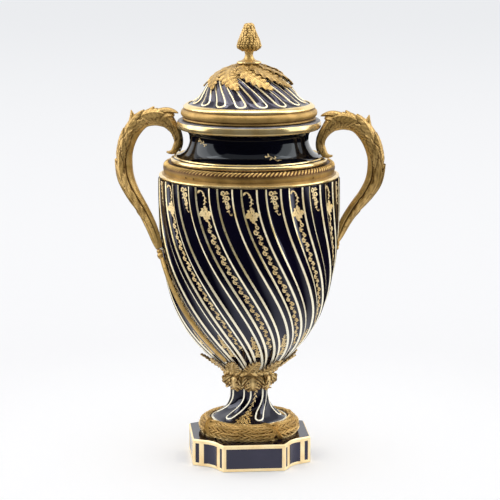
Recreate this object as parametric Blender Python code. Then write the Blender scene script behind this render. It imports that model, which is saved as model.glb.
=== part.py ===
# Covered mantel urn: dark blue fluted porcelain with gilt-bronze mounts.
# Metres, +Z up. The origin is on the axis, at the underside of the plinth.
# Angles are in degrees about +Z, with the front of the urn at -90.

import math

import bpy
import bmesh
from mathutils import Vector

MM = 0.001
GAP = 0.3          # clearance between neighbouring pieces, in millimetres

# Driving dimensions, in millimetres and degrees
PLINTH_HALF = 62.0         # half the width across the flats
PLINTH_FACE = 32.0         # half the length of a flat face
PLINTH_RETURN = 5.0        # short facet between a face and the hollow corner
PLINTH_HEIGHT = 28.0
PLINTH_TURN = 5.0          # the plinth is pinned a little off the urn's own axes
FOOT_TOP = 83.7
KNOP_TOP = 91.0
BODY_BOTTOM = 92.0
BODY_RIM = 300.7
NECK_BASE = 315.7
LIP_TOP = 360.0
LID_SEAT = LIP_TOP + GAP
LID_EDGE = 374.6           # where the dome meets its bronze ring
LID_CROWN = 413.6
HEIGHT = 460.0

BODY_FLUTES = 24
BODY_FLUTE_HALF = 5.0      # half the angle of a flute, the rest is the raised band
BODY_FLUTE_DEPTH = 1.9
TWIST_RATE = 0.4           # degrees of turn for each millimetre of fall, low on the body
TWIST_RUN = 130.0          # height over which the flutes bend from upright to that rate

LID_RIBS = 16
LID_RIB_HALF = 5.6
LID_RIB_OFFSET = -8.0      # a rib's lower end, measured round the lid
LID_SPIRAL = 85.0          # degrees of turn for each e-fold of radius
LID_SPIRAL_START = 52.5    # radius inside which the ribs spiral

FOOT_RIBS = 6
FOOT_RIB_HALF = 10.0
FOOT_RIB_OFFSET = 25.2     # a rib at the top of the foot, measured round it
FOOT_TWIST = -36.0         # the foot turns the other way from the body

CROWN_LEAVES = 9
CALYX_LEAVES = 12
LEAF_STAND = 2.3           # clearance under the crown leaves, which bridge the ribs of the dome
KNOP_LEAVES = 7
KNOP_TURN = -80.5          # one leaf tip of the knop, measured round the stem
CONE_SIDES = 10
ROUND_SIDES = 24           # facets round the plain turned pieces

# Radius and height down the outside of the body
BODY_PROFILE = [
    (94.4, BODY_RIM), (94.5, 270.0), (93.0, 234.0), (90.4, 211.0),
    (86.4, 190.0), (80.8, 169.0), (73.0, 150.0), (63.4, 134.0), (51.6, 119.6),
    (37.8, 106.0), (27.0, 98.0), (19.5, BODY_BOTTOM),
]
BODY_INSIDE = [(89.3, BODY_RIM), (87.4, 250.0), (82.6, 208.0), (69.0, 160.0), (49.0, 128.0), (22.0, 104.0)]

# Radius and height of the porcelain dome of the lid
LID_PROFILE = [
    (63.6, LID_EDGE), (62.0, 376.4), (57.0, 379.2), (51.4, 383.2), (46.6, 389.6),
    (41.2, 397.2), (34.4, 404.4), (24.0, 410.8), (12.0, LID_CROWN),
]


def interpolate(table, height):
    # Radius at a height on a profile listed from the top down
    for (r_high, z_high), (r_low, z_low) in zip(table, table[1:]):
        if height >= z_low:
            share = (height - z_low) / (z_high - z_low)
            return r_low + share * (r_high - r_low)
    return table[-1][0]


def dome_height(radius):
    return interpolate([(z, r) for r, z in LID_PROFILE], radius)


def body_height(radius):
    return interpolate([(z, r) for r, z in BODY_PROFILE], radius)


def ease(share):
    share = min(max(share, 0.0), 1.0)
    return share * share * (3.0 - 2.0 * share)


def polar(radius, angle, height):
    turn = math.radians(angle)
    return Vector((radius * math.cos(turn), radius * math.sin(turn), height)) * MM


def body_twist(height):
    # The flutes leave the rim upright and lean more and more on their way down
    fall = (BODY_RIM - height) / TWIST_RUN
    if fall <= 1.0:
        return TWIST_RATE * TWIST_RUN * (fall ** 2 - fall ** 3 / 3.0)
    return TWIST_RATE * TWIST_RUN * (fall - 1.0 / 3.0)


def lid_twist(radius):
    if radius >= LID_SPIRAL_START:
        return 0.0
    return -LID_SPIRAL * math.log(LID_SPIRAL_START / radius)


def foot_twist(height):
    share = min(max((72.0 - height) / 26.0, 0.0), 1.0)
    return FOOT_TWIST * ease(share ** 1.25)


def make_material(name, colour, roughness, metallic):
    material = bpy.data.materials.new(name)
    material.use_nodes = True
    shader = material.node_tree.nodes["Principled BSDF"]
    shader.inputs["Base Color"].default_value = (*colour, 1.0)
    shader.inputs["Roughness"].default_value = roughness
    shader.inputs["Metallic"].default_value = metallic
    return material


def join_rings(bm, first, second):
    # Faces between two rings, where one may have a whole number of times more points
    coarse, fine = (first, second) if len(first) <= len(second) else (second, first)
    ratio = len(fine) // len(coarse)
    for i in range(len(coarse)):
        start = i * ratio
        run = [fine[(start + k) % len(fine)] for k in range(ratio, -1, -1)]
        bm.faces.new([coarse[i], coarse[(i + 1) % len(coarse)]] + run)


def skin(name, rings, material, wrap=False, sharp=35.0):
    # A closed solid through a row of rings. The ends are filled, or joined when wrap is set.
    bm = bmesh.new()
    loops = [[bm.verts.new(point) for point in ring] for ring in rings]
    for first, second in zip(loops, loops[1:]):
        join_rings(bm, first, second)
    if wrap:
        join_rings(bm, loops[-1], loops[0])
    else:
        bm.faces.new(loops[0])
        bm.faces.new(loops[-1])
    bmesh.ops.recalc_face_normals(bm, faces=bm.faces[:])
    mesh = bpy.data.meshes.new(name)
    bm.to_mesh(mesh)
    bm.free()
    mesh.materials.append(material)
    mesh.shade_smooth()
    mesh.set_sharp_from_angle(angle=math.radians(sharp))
    piece = bpy.data.objects.new(name, mesh)
    bpy.context.scene.collection.objects.link(piece)
    return piece


def circle(radius, height, count):
    return [polar(radius, 360.0 * i / count, height) for i in range(count)]


def turned(name, profile, count, material, wrap=True):
    rings = [circle(radius, height, count) for radius, height in profile]
    return skin(name, rings, material, wrap)


def hollow_round(start, end, centre, steps):
    # Points on a quarter circle from start to end, bulging towards the centre of the plinth
    radius = (Vector(start) - Vector(centre)).length
    first = math.atan2(start[1] - centre[1], start[0] - centre[0])
    last = math.atan2(end[1] - centre[1], end[0] - centre[0])
    turn = (last - first + math.pi) % (2.0 * math.pi) - math.pi
    return [
        (centre[0] + radius * math.cos(first + turn * i / steps),
         centre[1] + radius * math.sin(first + turn * i / steps))
        for i in range(steps + 1)
    ]


def plinth_outline(inset):
    # One quarter is a half face, a return, a hollow corner and the next return
    half = PLINTH_HALF - inset
    face = PLINTH_FACE - 0.4 * inset
    hollow_start = (half - 9.0, -face - PLINTH_RETURN)
    hollow_end = (face + PLINTH_RETURN, -half + 9.0)
    corner = [(half, -face)] + hollow_round(hollow_end, hollow_start, (half - 1.0, -half + 1.0), 5)[::-1]
    corner.append((face, -half))
    points = []
    for quarter in range(4):
        turn = math.radians(90.0 * quarter + PLINTH_TURN)
        for x, y in corner[::-1]:
            points.append((x * math.cos(turn) - y * math.sin(turn), x * math.sin(turn) + y * math.cos(turn)))
    return points


def make_plinth(porcelain):
    levels = [(0.8, 0.0), (0.0, 0.8), (0.0, PLINTH_HEIGHT - 1.2), (1.2, PLINTH_HEIGHT)]
    rings = [[Vector((x, y, z)) * MM for x, y in plinth_outline(inset)] for inset, z in levels]
    return skin("plinth", rings, porcelain, sharp=25.0)


def make_laurel_band(bronze):
    base = PLINTH_HEIGHT + GAP
    profile = [
        (41.0, base), (47.8, base), (48.8, 29.8), (51.8, 31.4), (53.4, 34.4), (52.8, 37.6),
        (50.0, 40.8), (46.0, 43.0), (42.2, 43.9), (41.0, 42.9),
    ]
    return turned("laurel_band", profile, ROUND_SIDES, bronze)


def foot_ring(radius, height, relief):
    # Each rib has two raised edges, and the flute beside it is sunk
    pitch = 360.0 / FOOT_RIBS
    ring = []
    for i in range(FOOT_RIBS):
        rib = FOOT_RIB_OFFSET + pitch * i + foot_twist(height)
        steps = [(FOOT_RIB_HALF, 0.4), (23.0, -1.0), (37.0, -1.0), (pitch - FOOT_RIB_HALF, 0.4)]
        ring.extend(polar(radius + relief * lift, rib + angle, height) for angle, lift in steps)
    return ring


def make_foot(porcelain):
    base = PLINTH_HEIGHT + GAP
    inside = [(34.0, base), (33.0, 34.0), (24.0, 43.0), (14.5, 55.6), (13.5, 76.0)]
    outside = [
        (20.0, FOOT_TOP, 0.0), (20.2, 68.0, 0.8), (21.2, 59.5, 1.0), (23.0, 55.4, 1.0),
        (26.4, 51.8, 1.0), (31.4, 48.2, 0.8), (36.4, 44.8, 0.2), (40.2, 43.0, 0.0), (40.2, base, 0.0),
    ]
    rings = [circle(radius, height, FOOT_RIBS * 2) for radius, height in inside[::-1]]
    rings += [foot_ring(radius, height, relief) for radius, height, relief in outside[::-1]]
    return skin("foot", rings, porcelain)


def make_leaf_knop(bronze):
    # Drooping leaves round the top of the stem. Their tips hang lower than the notches between them.
    count = KNOP_LEAVES * 4
    outside = [(16.0, KNOP_TOP, 0.0), (21.0, 89.6, 0.0), (23.4, 87.0, 0.2), (23.9, 84.8, 0.4)]
    waves = [(KNOP_TURN + 360.0 * i / count, math.cos(2.0 * math.pi * i * KNOP_LEAVES / count)) for i in range(count)]
    rings = [[polar(radius + lift * wave, angle, height) for angle, wave in waves] for radius, height, lift in outside]
    for radius in (23.6, 21.8):
        rings.append([polar(radius, angle, 79.4 - 4.0 * wave) for angle, wave in waves])
    rings.append([polar(21.8, angle, FOOT_TOP + GAP) for angle, _ in waves])
    return skin("leaf_knop", rings, bronze)


def make_leaf_calyx(bronze):
    # A cup of leaves just outside the underside of the body, with leaning tips
    count = CALYX_LEAVES * 3
    inner, outer = [], []
    for step in range(4):
        share = step / 3.0
        inside, outside = [], []
        for i in range(count):
            angle = 360.0 * i / count
            tip = 0.5 + 0.5 * math.cos(math.radians(CALYX_LEAVES * angle))
            radius = 22.0 + share * (15.0 + 16.0 * tip)
            rise = body_height(radius)
            lean = angle + 16.0 * share * tip
            stand = 1.3 + 5.0 * tip * share ** 2
            inside.append(polar(radius, lean, rise - stand))
            outside.append(polar(radius + 0.6, lean, rise - stand - 2.4 + 0.9 * share))
        inner.append(inside)
        outer.append(outside)
    return skin("leaf_calyx", inner + outer[::-1], bronze, wrap=True)


def body_ring(radius, height, relief):
    pitch = 360.0 / BODY_FLUTES
    depth = BODY_FLUTE_DEPTH * relief * radius / BODY_PROFILE[0][0]
    ring = []
    for i in range(BODY_FLUTES):
        flute = pitch * i + body_twist(height)
        for side, sink in ((-1, 0.0), (0, depth), (1, 0.0)):
            ring.append(polar(radius - sink, flute + side * BODY_FLUTE_HALF, height))
    return ring


def make_body(porcelain):
    rings = [circle(radius, height, BODY_FLUTES) for radius, height in BODY_INSIDE[::-1]]
    for radius, height in BODY_PROFILE:
        rings.append(body_ring(radius, height, 0.0 if height < BODY_BOTTOM + GAP else 1.0))
    return skin("body", rings, porcelain, sharp=30.0)


def make_collar(bronze):
    base = BODY_RIM + GAP
    profile = [
        (84.0, base), (93.2, base), (93.8, 302.4), (92.6, 303.9), (88.6, 304.8), (88.2, 306.2),
        (89.3, 308.6), (89.6, 311.0), (88.4, 314.4), (86.4, 316.2), (84.0, 316.8), (82.0, 316.6),
        (81.6, NECK_BASE - GAP), (78.0, NECK_BASE - GAP), (78.0, 311.0),
    ]
    return turned("collar", profile, ROUND_SIDES, bronze)


def make_neck(porcelain):
    profile = [
        (58.6, LIP_TOP), (73.0, LIP_TOP), (74.6, 357.2), (74.2, 353.4), (64.4, 349.0), (61.8, 342.0),
        (62.8, 334.0), (66.4, 327.0), (72.0, 323.0), (79.0, 321.6), (81.0, 320.8), (81.2, NECK_BASE),
        (70.0, NECK_BASE), (60.6, 327.0), (57.6, 342.0),
    ]
    return turned("neck", profile, ROUND_SIDES, porcelain)


def rib_ring(radius, height, relief):
    pitch = 360.0 / LID_RIBS
    ring = []
    for i in range(LID_RIBS):
        rib = LID_RIB_OFFSET + pitch * i + lid_twist(radius)
        for angle, lift in ((LID_RIB_HALF, 0.4), (pitch / 2.0, -0.8), (pitch - LID_RIB_HALF, 0.4)):
            ring.append(polar(radius + relief * lift, rib + angle, height))
    return ring


def make_lid(porcelain):
    # Seated on the lip, with a flange inside the mouth of the neck
    flange = [(57.0, 351.5), (57.0, LID_SEAT), (63.6, LID_SEAT)]
    inside = [(8.0, 408.6), (24.0, 404.6), (38.0, 393.0), (50.0, 375.0), (53.4, 351.5)]
    count = LID_RIBS * 3
    rings = [circle(radius, height, count // 2) for radius, height in inside]
    rings += [circle(radius, height, count // 2) for radius, height in flange]
    for radius, height in LID_PROFILE:
        rings.append(rib_ring(radius, height, 1.0 if 36.0 < radius < 60.0 else 0.0))
    return skin("lid", rings, porcelain)


def make_lid_rim(bronze):
    profile = [
        (64.7, LID_EDGE + 0.6), (64.7, LID_SEAT + 0.4), (69.6, LID_SEAT + 0.4), (70.0, 362.6), (68.9, 364.6),
        (70.7, 366.8), (70.2, 369.2), (67.8, 371.8), (67.8, 373.6), (65.8, LID_EDGE + 1.2),
    ]
    return turned("lid_rim", profile, ROUND_SIDES, bronze)


def make_lid_leaves(bronze):
    # A swirl of leaves over the crown. Each runs out to a tip and the next starts from under it.
    per_leaf = 4
    count = CROWN_LEAVES * per_leaf
    shares = (0.0, 0.42, 0.74, 1.0)
    top, under = [], []
    for share in shares:
        upper, lower = [], []
        for i in range(count):
            across = (i % per_leaf) / (per_leaf - 1.0)
            reach = 34.5 + 10.0 * across
            radius = 12.6 + share * (reach - 12.6)
            lean = 360.0 * (i // per_leaf) / CROWN_LEAVES + 34.0 * across
            angle = -118.0 + lean + 44.0 * share ** 1.2 + lid_twist(44.0)
            height = dome_height(radius)
            thick = 2.6 - 0.9 * share
            lower.append(polar(radius, angle, height + LEAF_STAND))
            upper.append(polar(radius + 0.4, angle, height + LEAF_STAND + thick))
        top.append(upper)
        under.append(lower)
    return skin("lid_leaves", under + top[::-1], bronze, wrap=True)


def make_finial(bronze):
    # Disc, flared stem and a pine cone whose scales stand out in staggered rows
    base = LID_CROWN + 4.1
    stem = [(6.0, base - 3.2), (6.0, base), (12.4, base), (12.9, base + 1.6), (11.6, base + 2.9), (7.8, base + 4.0),
            (4.6, base + 6.4), (3.9, base + 8.4), (5.4, base + 11.0), (8.6, base + 13.6)]
    rings = [circle(radius, height, CONE_SIDES) for radius, height in stem]
    rows = 8
    for row in range(1, rows):
        share = row / rows
        height = 431.4 + share * (HEIGHT - 431.4)
        radius = 12.4 * math.cos(math.radians(90.0 * max(0.0, (share - 0.18) / 0.86))) ** 0.75
        rings.append([
            polar(radius + (0.5 if (k + row) % 2 else -0.3), 360.0 * k / CONE_SIDES, height)
            for k in range(CONE_SIDES)
        ])
    rings.append(circle(1.2, HEIGHT, CONE_SIDES))
    return skin("finial", rings, bronze, sharp=50.0)


# Handle stations from the scroll at the neck, over the top and down the shaft:
# radius, height, turn round the axis, half width in the plane of the handle, half thickness
HANDLE_STATIONS = [
    (78.6, 325.6, -10.0, 5.2, 4.4), (76.2, 329.6, -10.0, 4.4, 4.6), (75.0, 335.2, -10.0, 4.4, 4.8),
    (76.4, 342.6, -10.0, 4.9, 5.2), (81.4, 350.4, -10.0, 6.2, 5.8), (88.4, 358.0, -10.0, 9.8, 6.4),
    (100.4, 360.6, -10.0, 9.8, 6.8), (113.6, 356.4, -10.0, 9.2, 7.0), (125.6, 343.0, -10.0, 10.0, 7.0),
    (132.0, 326.0, -9.4, 10.0, 7.0), (132.2, 311.0, -8.0, 9.9, 7.0), (128.8, 297.0, -5.6, 9.0, 6.8),
    (121.0, 282.4, -2.0, 7.4, 6.6), (110.6, 266.6, 3.0, 6.6, 6.4), (102.8, 250.6, 8.4, 6.2, 6.0),
    (98.2, 236.0, 13.0, 5.0, 5.2), (96.0, 227.8, 14.9, 3.4, 3.6),
]
HANDLE_TIPS = [
    # start radius and height, end radius and height, half width, half thickness
    (88.0, 364.4, 74.2, 366.8, 5.0, 4.6),
    (118.4, 351.0, 124.4, 366.4, 5.0, 4.6),
    (78.6, 327.4, 87.6, 323.6, 2.6, 4.0),
]
STRAP_FOOT = 112.6


def catmull(rows, steps):
    # A smooth run through rows of numbers, keeping the first and the last
    result = []
    for i in range(len(rows) - 1):
        before, here, there, after = (rows[min(max(i + k, 0), len(rows) - 1)] for k in (-1, 0, 1, 2))
        for step in range(steps):
            t = step / steps
            result.append(tuple(
                0.5 * (2.0 * b + (c - a) * t + (2.0 * a - 5.0 * b + 4.0 * c - d) * t ** 2
                       + (3.0 * b - a - 3.0 * c + d) * t ** 3)
                for a, b, c, d in zip(before, here, there, after)))
    result.append(tuple(rows[-1]))
    return result


def strap_stations():
    # A bead with two rings on the body, and the strap that follows a flute down to the calyx
    stations = []
    for height, width, thick in ((225.6, 4.6, 2.9), (223.6, 3.0, 2.0), (221.4, 5.0, 3.1), (218.8, 3.2, 2.1)):
        stations.append((height, width, thick))
    for step in range(6):
        share = step / 5.0
        stations.append((216.0 + share * (STRAP_FOOT - 216.0), 4.0 - 1.9 * share, 2.4 - 0.9 * share))
    rows = []
    for height, width, thick in stations:
        radius = interpolate(BODY_PROFILE, height) + GAP + 0.8 + thick
        rows.append((radius, height, body_twist(height), thick, width))
    return rows


def sweep(name, rows, turn, material, sides=8):
    # A rounded bar along rows of radius, height, angle, half width and half thickness
    centres = [polar(r, angle + turn, z) for r, z, angle, _, _ in rows]
    rings = []
    for i, (r, z, angle, wide, thick) in enumerate(rows):
        along = (centres[min(i + 1, len(rows) - 1)] - centres[max(i - 1, 0)]).normalized()
        around = polar(1.0, angle + turn + 90.0, 0.0).normalized()
        across = (around - along * around.dot(along)).normalized()
        outward = along.cross(across)
        ring = []
        for k in range(sides):
            spin = 2.0 * math.pi * (k + 0.5) / sides
            offset = outward * wide * math.cos(spin) + across * thick * math.sin(spin)
            ring.append(centres[i] + offset * MM / math.cos(math.pi / sides) ** 0.5)
        rings.append(ring)
    return skin(name, rings, material, sharp=40.0)


def make_handle(name, turn, bronze):
    rows = catmull(HANDLE_STATIONS, 2) + strap_stations()
    handle = sweep(name, rows, turn, bronze)
    for i, (r_start, z_start, r_end, z_end, wide, thick) in enumerate(HANDLE_TIPS):
        tip_rows = []
        for step in range(4):
            share = step / 3.0
            narrow = 1.0 - 0.8 * share
            tip_rows.append((
                r_start + share * (r_end - r_start), z_start + share * (z_end - z_start), HANDLE_STATIONS[0][2],
                wide * narrow, thick * narrow))
        tip = sweep(f"{name}_tip_{i}", tip_rows, turn, bronze, sides=6)
        tip.hide_render = True
        tip.display_type = "WIRE"
        union = handle.modifiers.new("leaf_tip", "BOOLEAN")
        union.operation = "UNION"
        union.object = tip
    return handle


def main():
    for old in list(bpy.data.objects):
        bpy.data.objects.remove(old)
    porcelain = make_material("blue_porcelain", (0.010, 0.009, 0.022), 0.08, 0.0)
    bronze = make_material("gilt_bronze", (0.60, 0.38, 0.12), 0.34, 1.0)
    make_plinth(porcelain)
    make_laurel_band(bronze)
    make_foot(porcelain)
    make_leaf_knop(bronze)
    make_leaf_calyx(bronze)
    make_body(porcelain)
    make_collar(bronze)
    make_neck(porcelain)
    make_handle("handle_right", 0.0, bronze)
    make_handle("handle_left", 180.0, bronze)
    make_lid(porcelain)
    make_lid_rim(bronze)
    make_lid_leaves(bronze)
    make_finial(bronze)


main()
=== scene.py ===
# Covered mantel urn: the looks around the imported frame.
# Lengths are millimetres unless a line says otherwise. Azimuths are degrees about +Z, with the front at -90.
import math

import bpy
import numpy as np
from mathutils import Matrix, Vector


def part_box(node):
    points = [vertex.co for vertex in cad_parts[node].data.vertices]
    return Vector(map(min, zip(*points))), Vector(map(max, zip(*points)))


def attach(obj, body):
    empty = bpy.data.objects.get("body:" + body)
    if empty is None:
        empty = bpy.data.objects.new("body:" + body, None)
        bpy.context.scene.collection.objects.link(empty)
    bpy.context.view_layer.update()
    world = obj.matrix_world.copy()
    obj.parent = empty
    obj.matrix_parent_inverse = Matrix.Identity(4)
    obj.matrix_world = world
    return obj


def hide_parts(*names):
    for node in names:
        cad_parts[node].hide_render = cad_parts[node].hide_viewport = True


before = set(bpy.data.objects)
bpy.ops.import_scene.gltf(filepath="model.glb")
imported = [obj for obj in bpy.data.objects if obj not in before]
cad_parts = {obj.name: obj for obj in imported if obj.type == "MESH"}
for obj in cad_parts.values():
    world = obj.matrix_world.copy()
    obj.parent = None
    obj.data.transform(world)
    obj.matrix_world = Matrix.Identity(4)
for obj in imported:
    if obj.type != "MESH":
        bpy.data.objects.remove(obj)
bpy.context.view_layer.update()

mm = 0.001
scene = bpy.context.scene


# Tools for objects and materials
def deselectAll():
    if bpy.context.mode != "OBJECT":
        bpy.ops.object.mode_set(mode="OBJECT")
    bpy.ops.object.select_all(action="DESELECT")


def makeActive(piece):
    deselectAll()
    piece.select_set(True)
    bpy.context.view_layer.objects.active = piece


def setInputs(tree, node, inputs):
    # Each input is linked where it is given a socket, and otherwise set to the number or colour
    for name, value in inputs.items():
        if isinstance(value, bpy.types.NodeSocket):
            tree.links.new(value, node.inputs[name])
        else:
            node.inputs[name].default_value = value


def addNode(tree, kind, inputs, **settings):
    node = tree.nodes.new("ShaderNode" + kind)
    for name, value in settings.items():
        setattr(node, name, value)
    setInputs(tree, node, inputs)
    return node


def newFinish(name, inputs):
    finish = bpy.data.materials.new(name)
    finish.use_nodes = True
    tree = finish.node_tree
    shader = tree.nodes["Principled BSDF"]
    setInputs(tree, shader, inputs)
    return finish, tree, shader, addNode(tree, "TexCoord", {}).outputs["Object"]


def addNoise(tree, spot, scale, detail=3.0):
    return addNode(tree, "TexNoise", {"Vector": spot, "Scale": scale, "Detail": detail}).outputs["Fac"]


def addRamp(tree, value, stops):
    ramp = addNode(tree, "ValToRGB", {"Fac": value})
    for element, (position, colour) in zip(ramp.color_ramp.elements, stops):
        element.position, element.color = position, (*colour, 1.0)
    return ramp.outputs["Color"]


def addMix(tree, factor, first, second, blend="MIX"):
    # The numbered inputs of a colour mix are its factor and its two colours
    inputs = {0: factor, 6: first, 7: second}
    return addNode(tree, "Mix", inputs, data_type="RGBA", blend_type=blend).outputs[2]


def addRange(tree, value, low, high, fromLow=0.0, fromHigh=1.0, way="LINEAR"):
    ends = {"From Min": fromLow, "From Max": fromHigh, "To Min": low, "To Max": high}
    return addNode(tree, "MapRange", {"Value": value, **ends}, interpolation_type=way).outputs["Result"]


def addBump(tree, height, strength, distance):
    inputs = {"Height": height, "Strength": strength, "Distance": distance}
    return addNode(tree, "Bump", inputs).outputs["Normal"]


def fadeAway(tree, spot, near, far, nearValue, farValue):
    # A value that eases from one to another with distance in metres from the middle
    reach = addNode(tree, "VectorMath", {0: spot}, operation="LENGTH").outputs["Value"]
    return addRange(tree, reach, nearValue, farValue, near, far, "SMOOTHSTEP")


# Camera, in metres and degrees
shot = {"place": (0.001, -2.150, 0.620), "tiltDown": 10.48, "lens": 150.3, "sensor": 36.0}


def makeCamera():
    data = bpy.data.cameras.new("camera")
    data.lens, data.sensor_width = shot["lens"], shot["sensor"]
    camera = bpy.data.objects.new("camera", data)
    camera.location = shot["place"]
    camera.rotation_euler = (math.radians(90.0 - shot["tiltDown"]), 0.0, 0.0)
    scene.collection.objects.link(camera)
    scene.camera = camera
    scene.view_settings.view_transform = "Standard"


makeCamera()


# Floor, flags and lights, in metres. A fade, glow or shade is two distances from the middle, and how strong
# it is at each.
studio = {
    "backdrop": (0.985, 0.990, 1.0, 1.0), "aim": (0.0, 0.0, 0.22),
    "floorSize": 60.0, "floorDrop": 0.0005,
    # The paper is painted lighter near the middle and greyer far off, a painted falloff of light
    "floorNear": (0.975, 0.973, 0.980, 1.0), "floorFar": (0.845, 0.852, 0.865, 1.0),
    # The floor's glow is a painted pool of light round the urn that cancels its contact shadow
    "floorPaintedFalloff": (0.0, 7.0, 0.0, 1.0), "paintedGlow": (0.06, 0.60, 0.12, 0.0),
    # Each flag: place, turn, size and shade
    "flags": {
        "flagFront": ((0.0, -2.60, 1.40), (90.0, 0.0, 0.0), (5.2, 2.9), None),
        "flagLeft": ((-2.60, -1.35, 1.40), (90.0, 0.0, 90.0), (2.6, 2.9), None),
        "flagRight": ((2.60, -1.35, 1.40), (90.0, 0.0, 90.0), (2.6, 2.9), None),
        "flagFloor": ((0.0, 0.0, 0.003), (0.0, 0.0, 0.0), (5.2, 5.2), (0.13, 0.50, 0.0, 1.0)),
        "flagCeiling": ((0.0, 0.0, 2.86), (0.0, 0.0, 0.0), (5.2, 5.2), (0.0, 1.0, 0.45, 0.45)),
    },
    # Each light: place, size and power
    "lights": {
        "left": ((-1.75, 0.10, 0.95), (1.6, 2.2), 23.0),
        "right": ((1.75, -0.10, 0.95), (1.5, 2.1), 21.0),
        "topLeft": ((-0.62, 0.0, 2.1), (0.85, 1.9), 15.0),
        "topRight": ((0.62, 0.0, 2.1), (0.85, 1.9), 14.0),
    },
}


def makeFloor():
    deselectAll()
    bpy.ops.mesh.primitive_plane_add(size=studio["floorSize"], location=(0.0, 0.0, -studio["floorDrop"]))
    floor = bpy.context.object
    floor.name = "floor"
    paint, tree, shader, spot = newFinish("floorPaper", {
        "Roughness": 0.9, "Specular IOR Level": 0.0, "Emission Color": (1.0, 1.0, 1.0, 1.0)})
    # Painted falloff of light: the paper's colour greys with distance from the middle
    fade = fadeAway(tree, spot, *studio["floorPaintedFalloff"])
    setInputs(tree, shader, {
        "Base Color": addMix(tree, fade, studio["floorNear"], studio["floorFar"]),
        # Painted pool of light: the paper glows near the urn
        "Emission Strength": fadeAway(tree, spot, *studio["paintedGlow"])})
    floor.data.materials.append(paint)
    return floor


def makeFlags():
    # Black flags that only reflections see, painted shade in reflections: the unlit front of the room, with
    # thinner ones below and above
    for name, (place, turn, size, shade) in studio["flags"].items():
        deselectAll()
        turn = [math.radians(angle) for angle in turn]
        bpy.ops.mesh.primitive_plane_add(size=1.0, location=place, rotation=turn)
        flag = bpy.context.object
        flag.name = name
        flag.scale = (*size, 1.0)
        bpy.ops.object.transform_apply(location=True, rotation=True, scale=True)
        paint, tree, shader, spot = newFinish(name + "Cloth", {
            "Base Color": (0.004, 0.004, 0.006, 1.0), "Roughness": 1.0, "Specular IOR Level": 0.0})
        if shade:
            clear = addNode(tree, "BsdfTransparent", {}).outputs["BSDF"]
            fade = fadeAway(tree, spot, *shade)
            mix = addNode(tree, "MixShader", {"Fac": fade, 1: clear, 2: shader.outputs["BSDF"]})
            setInputs(tree, tree.nodes["Material Output"], {"Surface": mix.outputs["Shader"]})
        flag.data.materials.append(paint)
        flag.visible_camera = flag.visible_diffuse = flag.visible_shadow = flag.visible_transmission = False


def makeStudio():
    world = bpy.data.worlds.new("studio")
    world.use_nodes = True
    world.node_tree.nodes["Background"].inputs["Color"].default_value = studio["backdrop"]
    scene.world = world
    floor = makeFloor()
    makeFlags()
    # The floor keeps to the even light of the room
    unlit = bpy.data.collections.new("evenFloor")
    unlit.objects.link(floor)
    unlit.collection_objects[0].light_linking.link_state = "EXCLUDE"
    for name, (place, size, power) in studio["lights"].items():
        data = bpy.data.lights.new(name, "AREA")
        data.shape = "RECTANGLE"
        data.size, data.size_y = size
        data.energy = power
        light = bpy.data.objects.new(name, data)
        light.location = place
        light.rotation_euler = (Vector(studio["aim"]) - light.location).to_track_quat("-Z", "Y").to_euler()
        scene.collection.objects.link(light)
        light.light_linking.receiver_collection = unlit
    print("studio: floor, flags and four soft lights")


makeStudio()


# Finishes. Every one is worked out from Object coordinates and from the hollow attribute of carved pieces,
# which carries painted shade.
white = (1.0, 1.0, 1.0)

# Each glaze: its deep colour, its light colour, level and tint of the shine
glazes = {
    "bluePorcelain": ((0.0012, 0.0010, 0.0036), (0.0028, 0.0019, 0.0080), 0.54, (0.78, 0.80, 1.0)),
    # Painted shade: the neck glaze is the body glaze made darker, with a weaker and greener shine
    "neckShadePorcelain": ((0.0010, 0.0011, 0.0024), (0.0020, 0.0021, 0.0048), 0.31, (0.86, 0.95, 1.0)),
    # Painted sheen: the lid glaze is the body glaze made paler and greyer
    "lidSheenPorcelain": ((0.010, 0.008, 0.013), (0.018, 0.015, 0.024), 0.50, (0.84, 0.80, 1.0)),
    # Painted reflection: the panel glaze is the body glaze made paler, for the panels that mirror the floor
    "panelSheenPorcelain": ((0.016, 0.015, 0.026), (0.023, 0.021, 0.037), 0.50, (0.78, 0.80, 1.0)),
}

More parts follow.
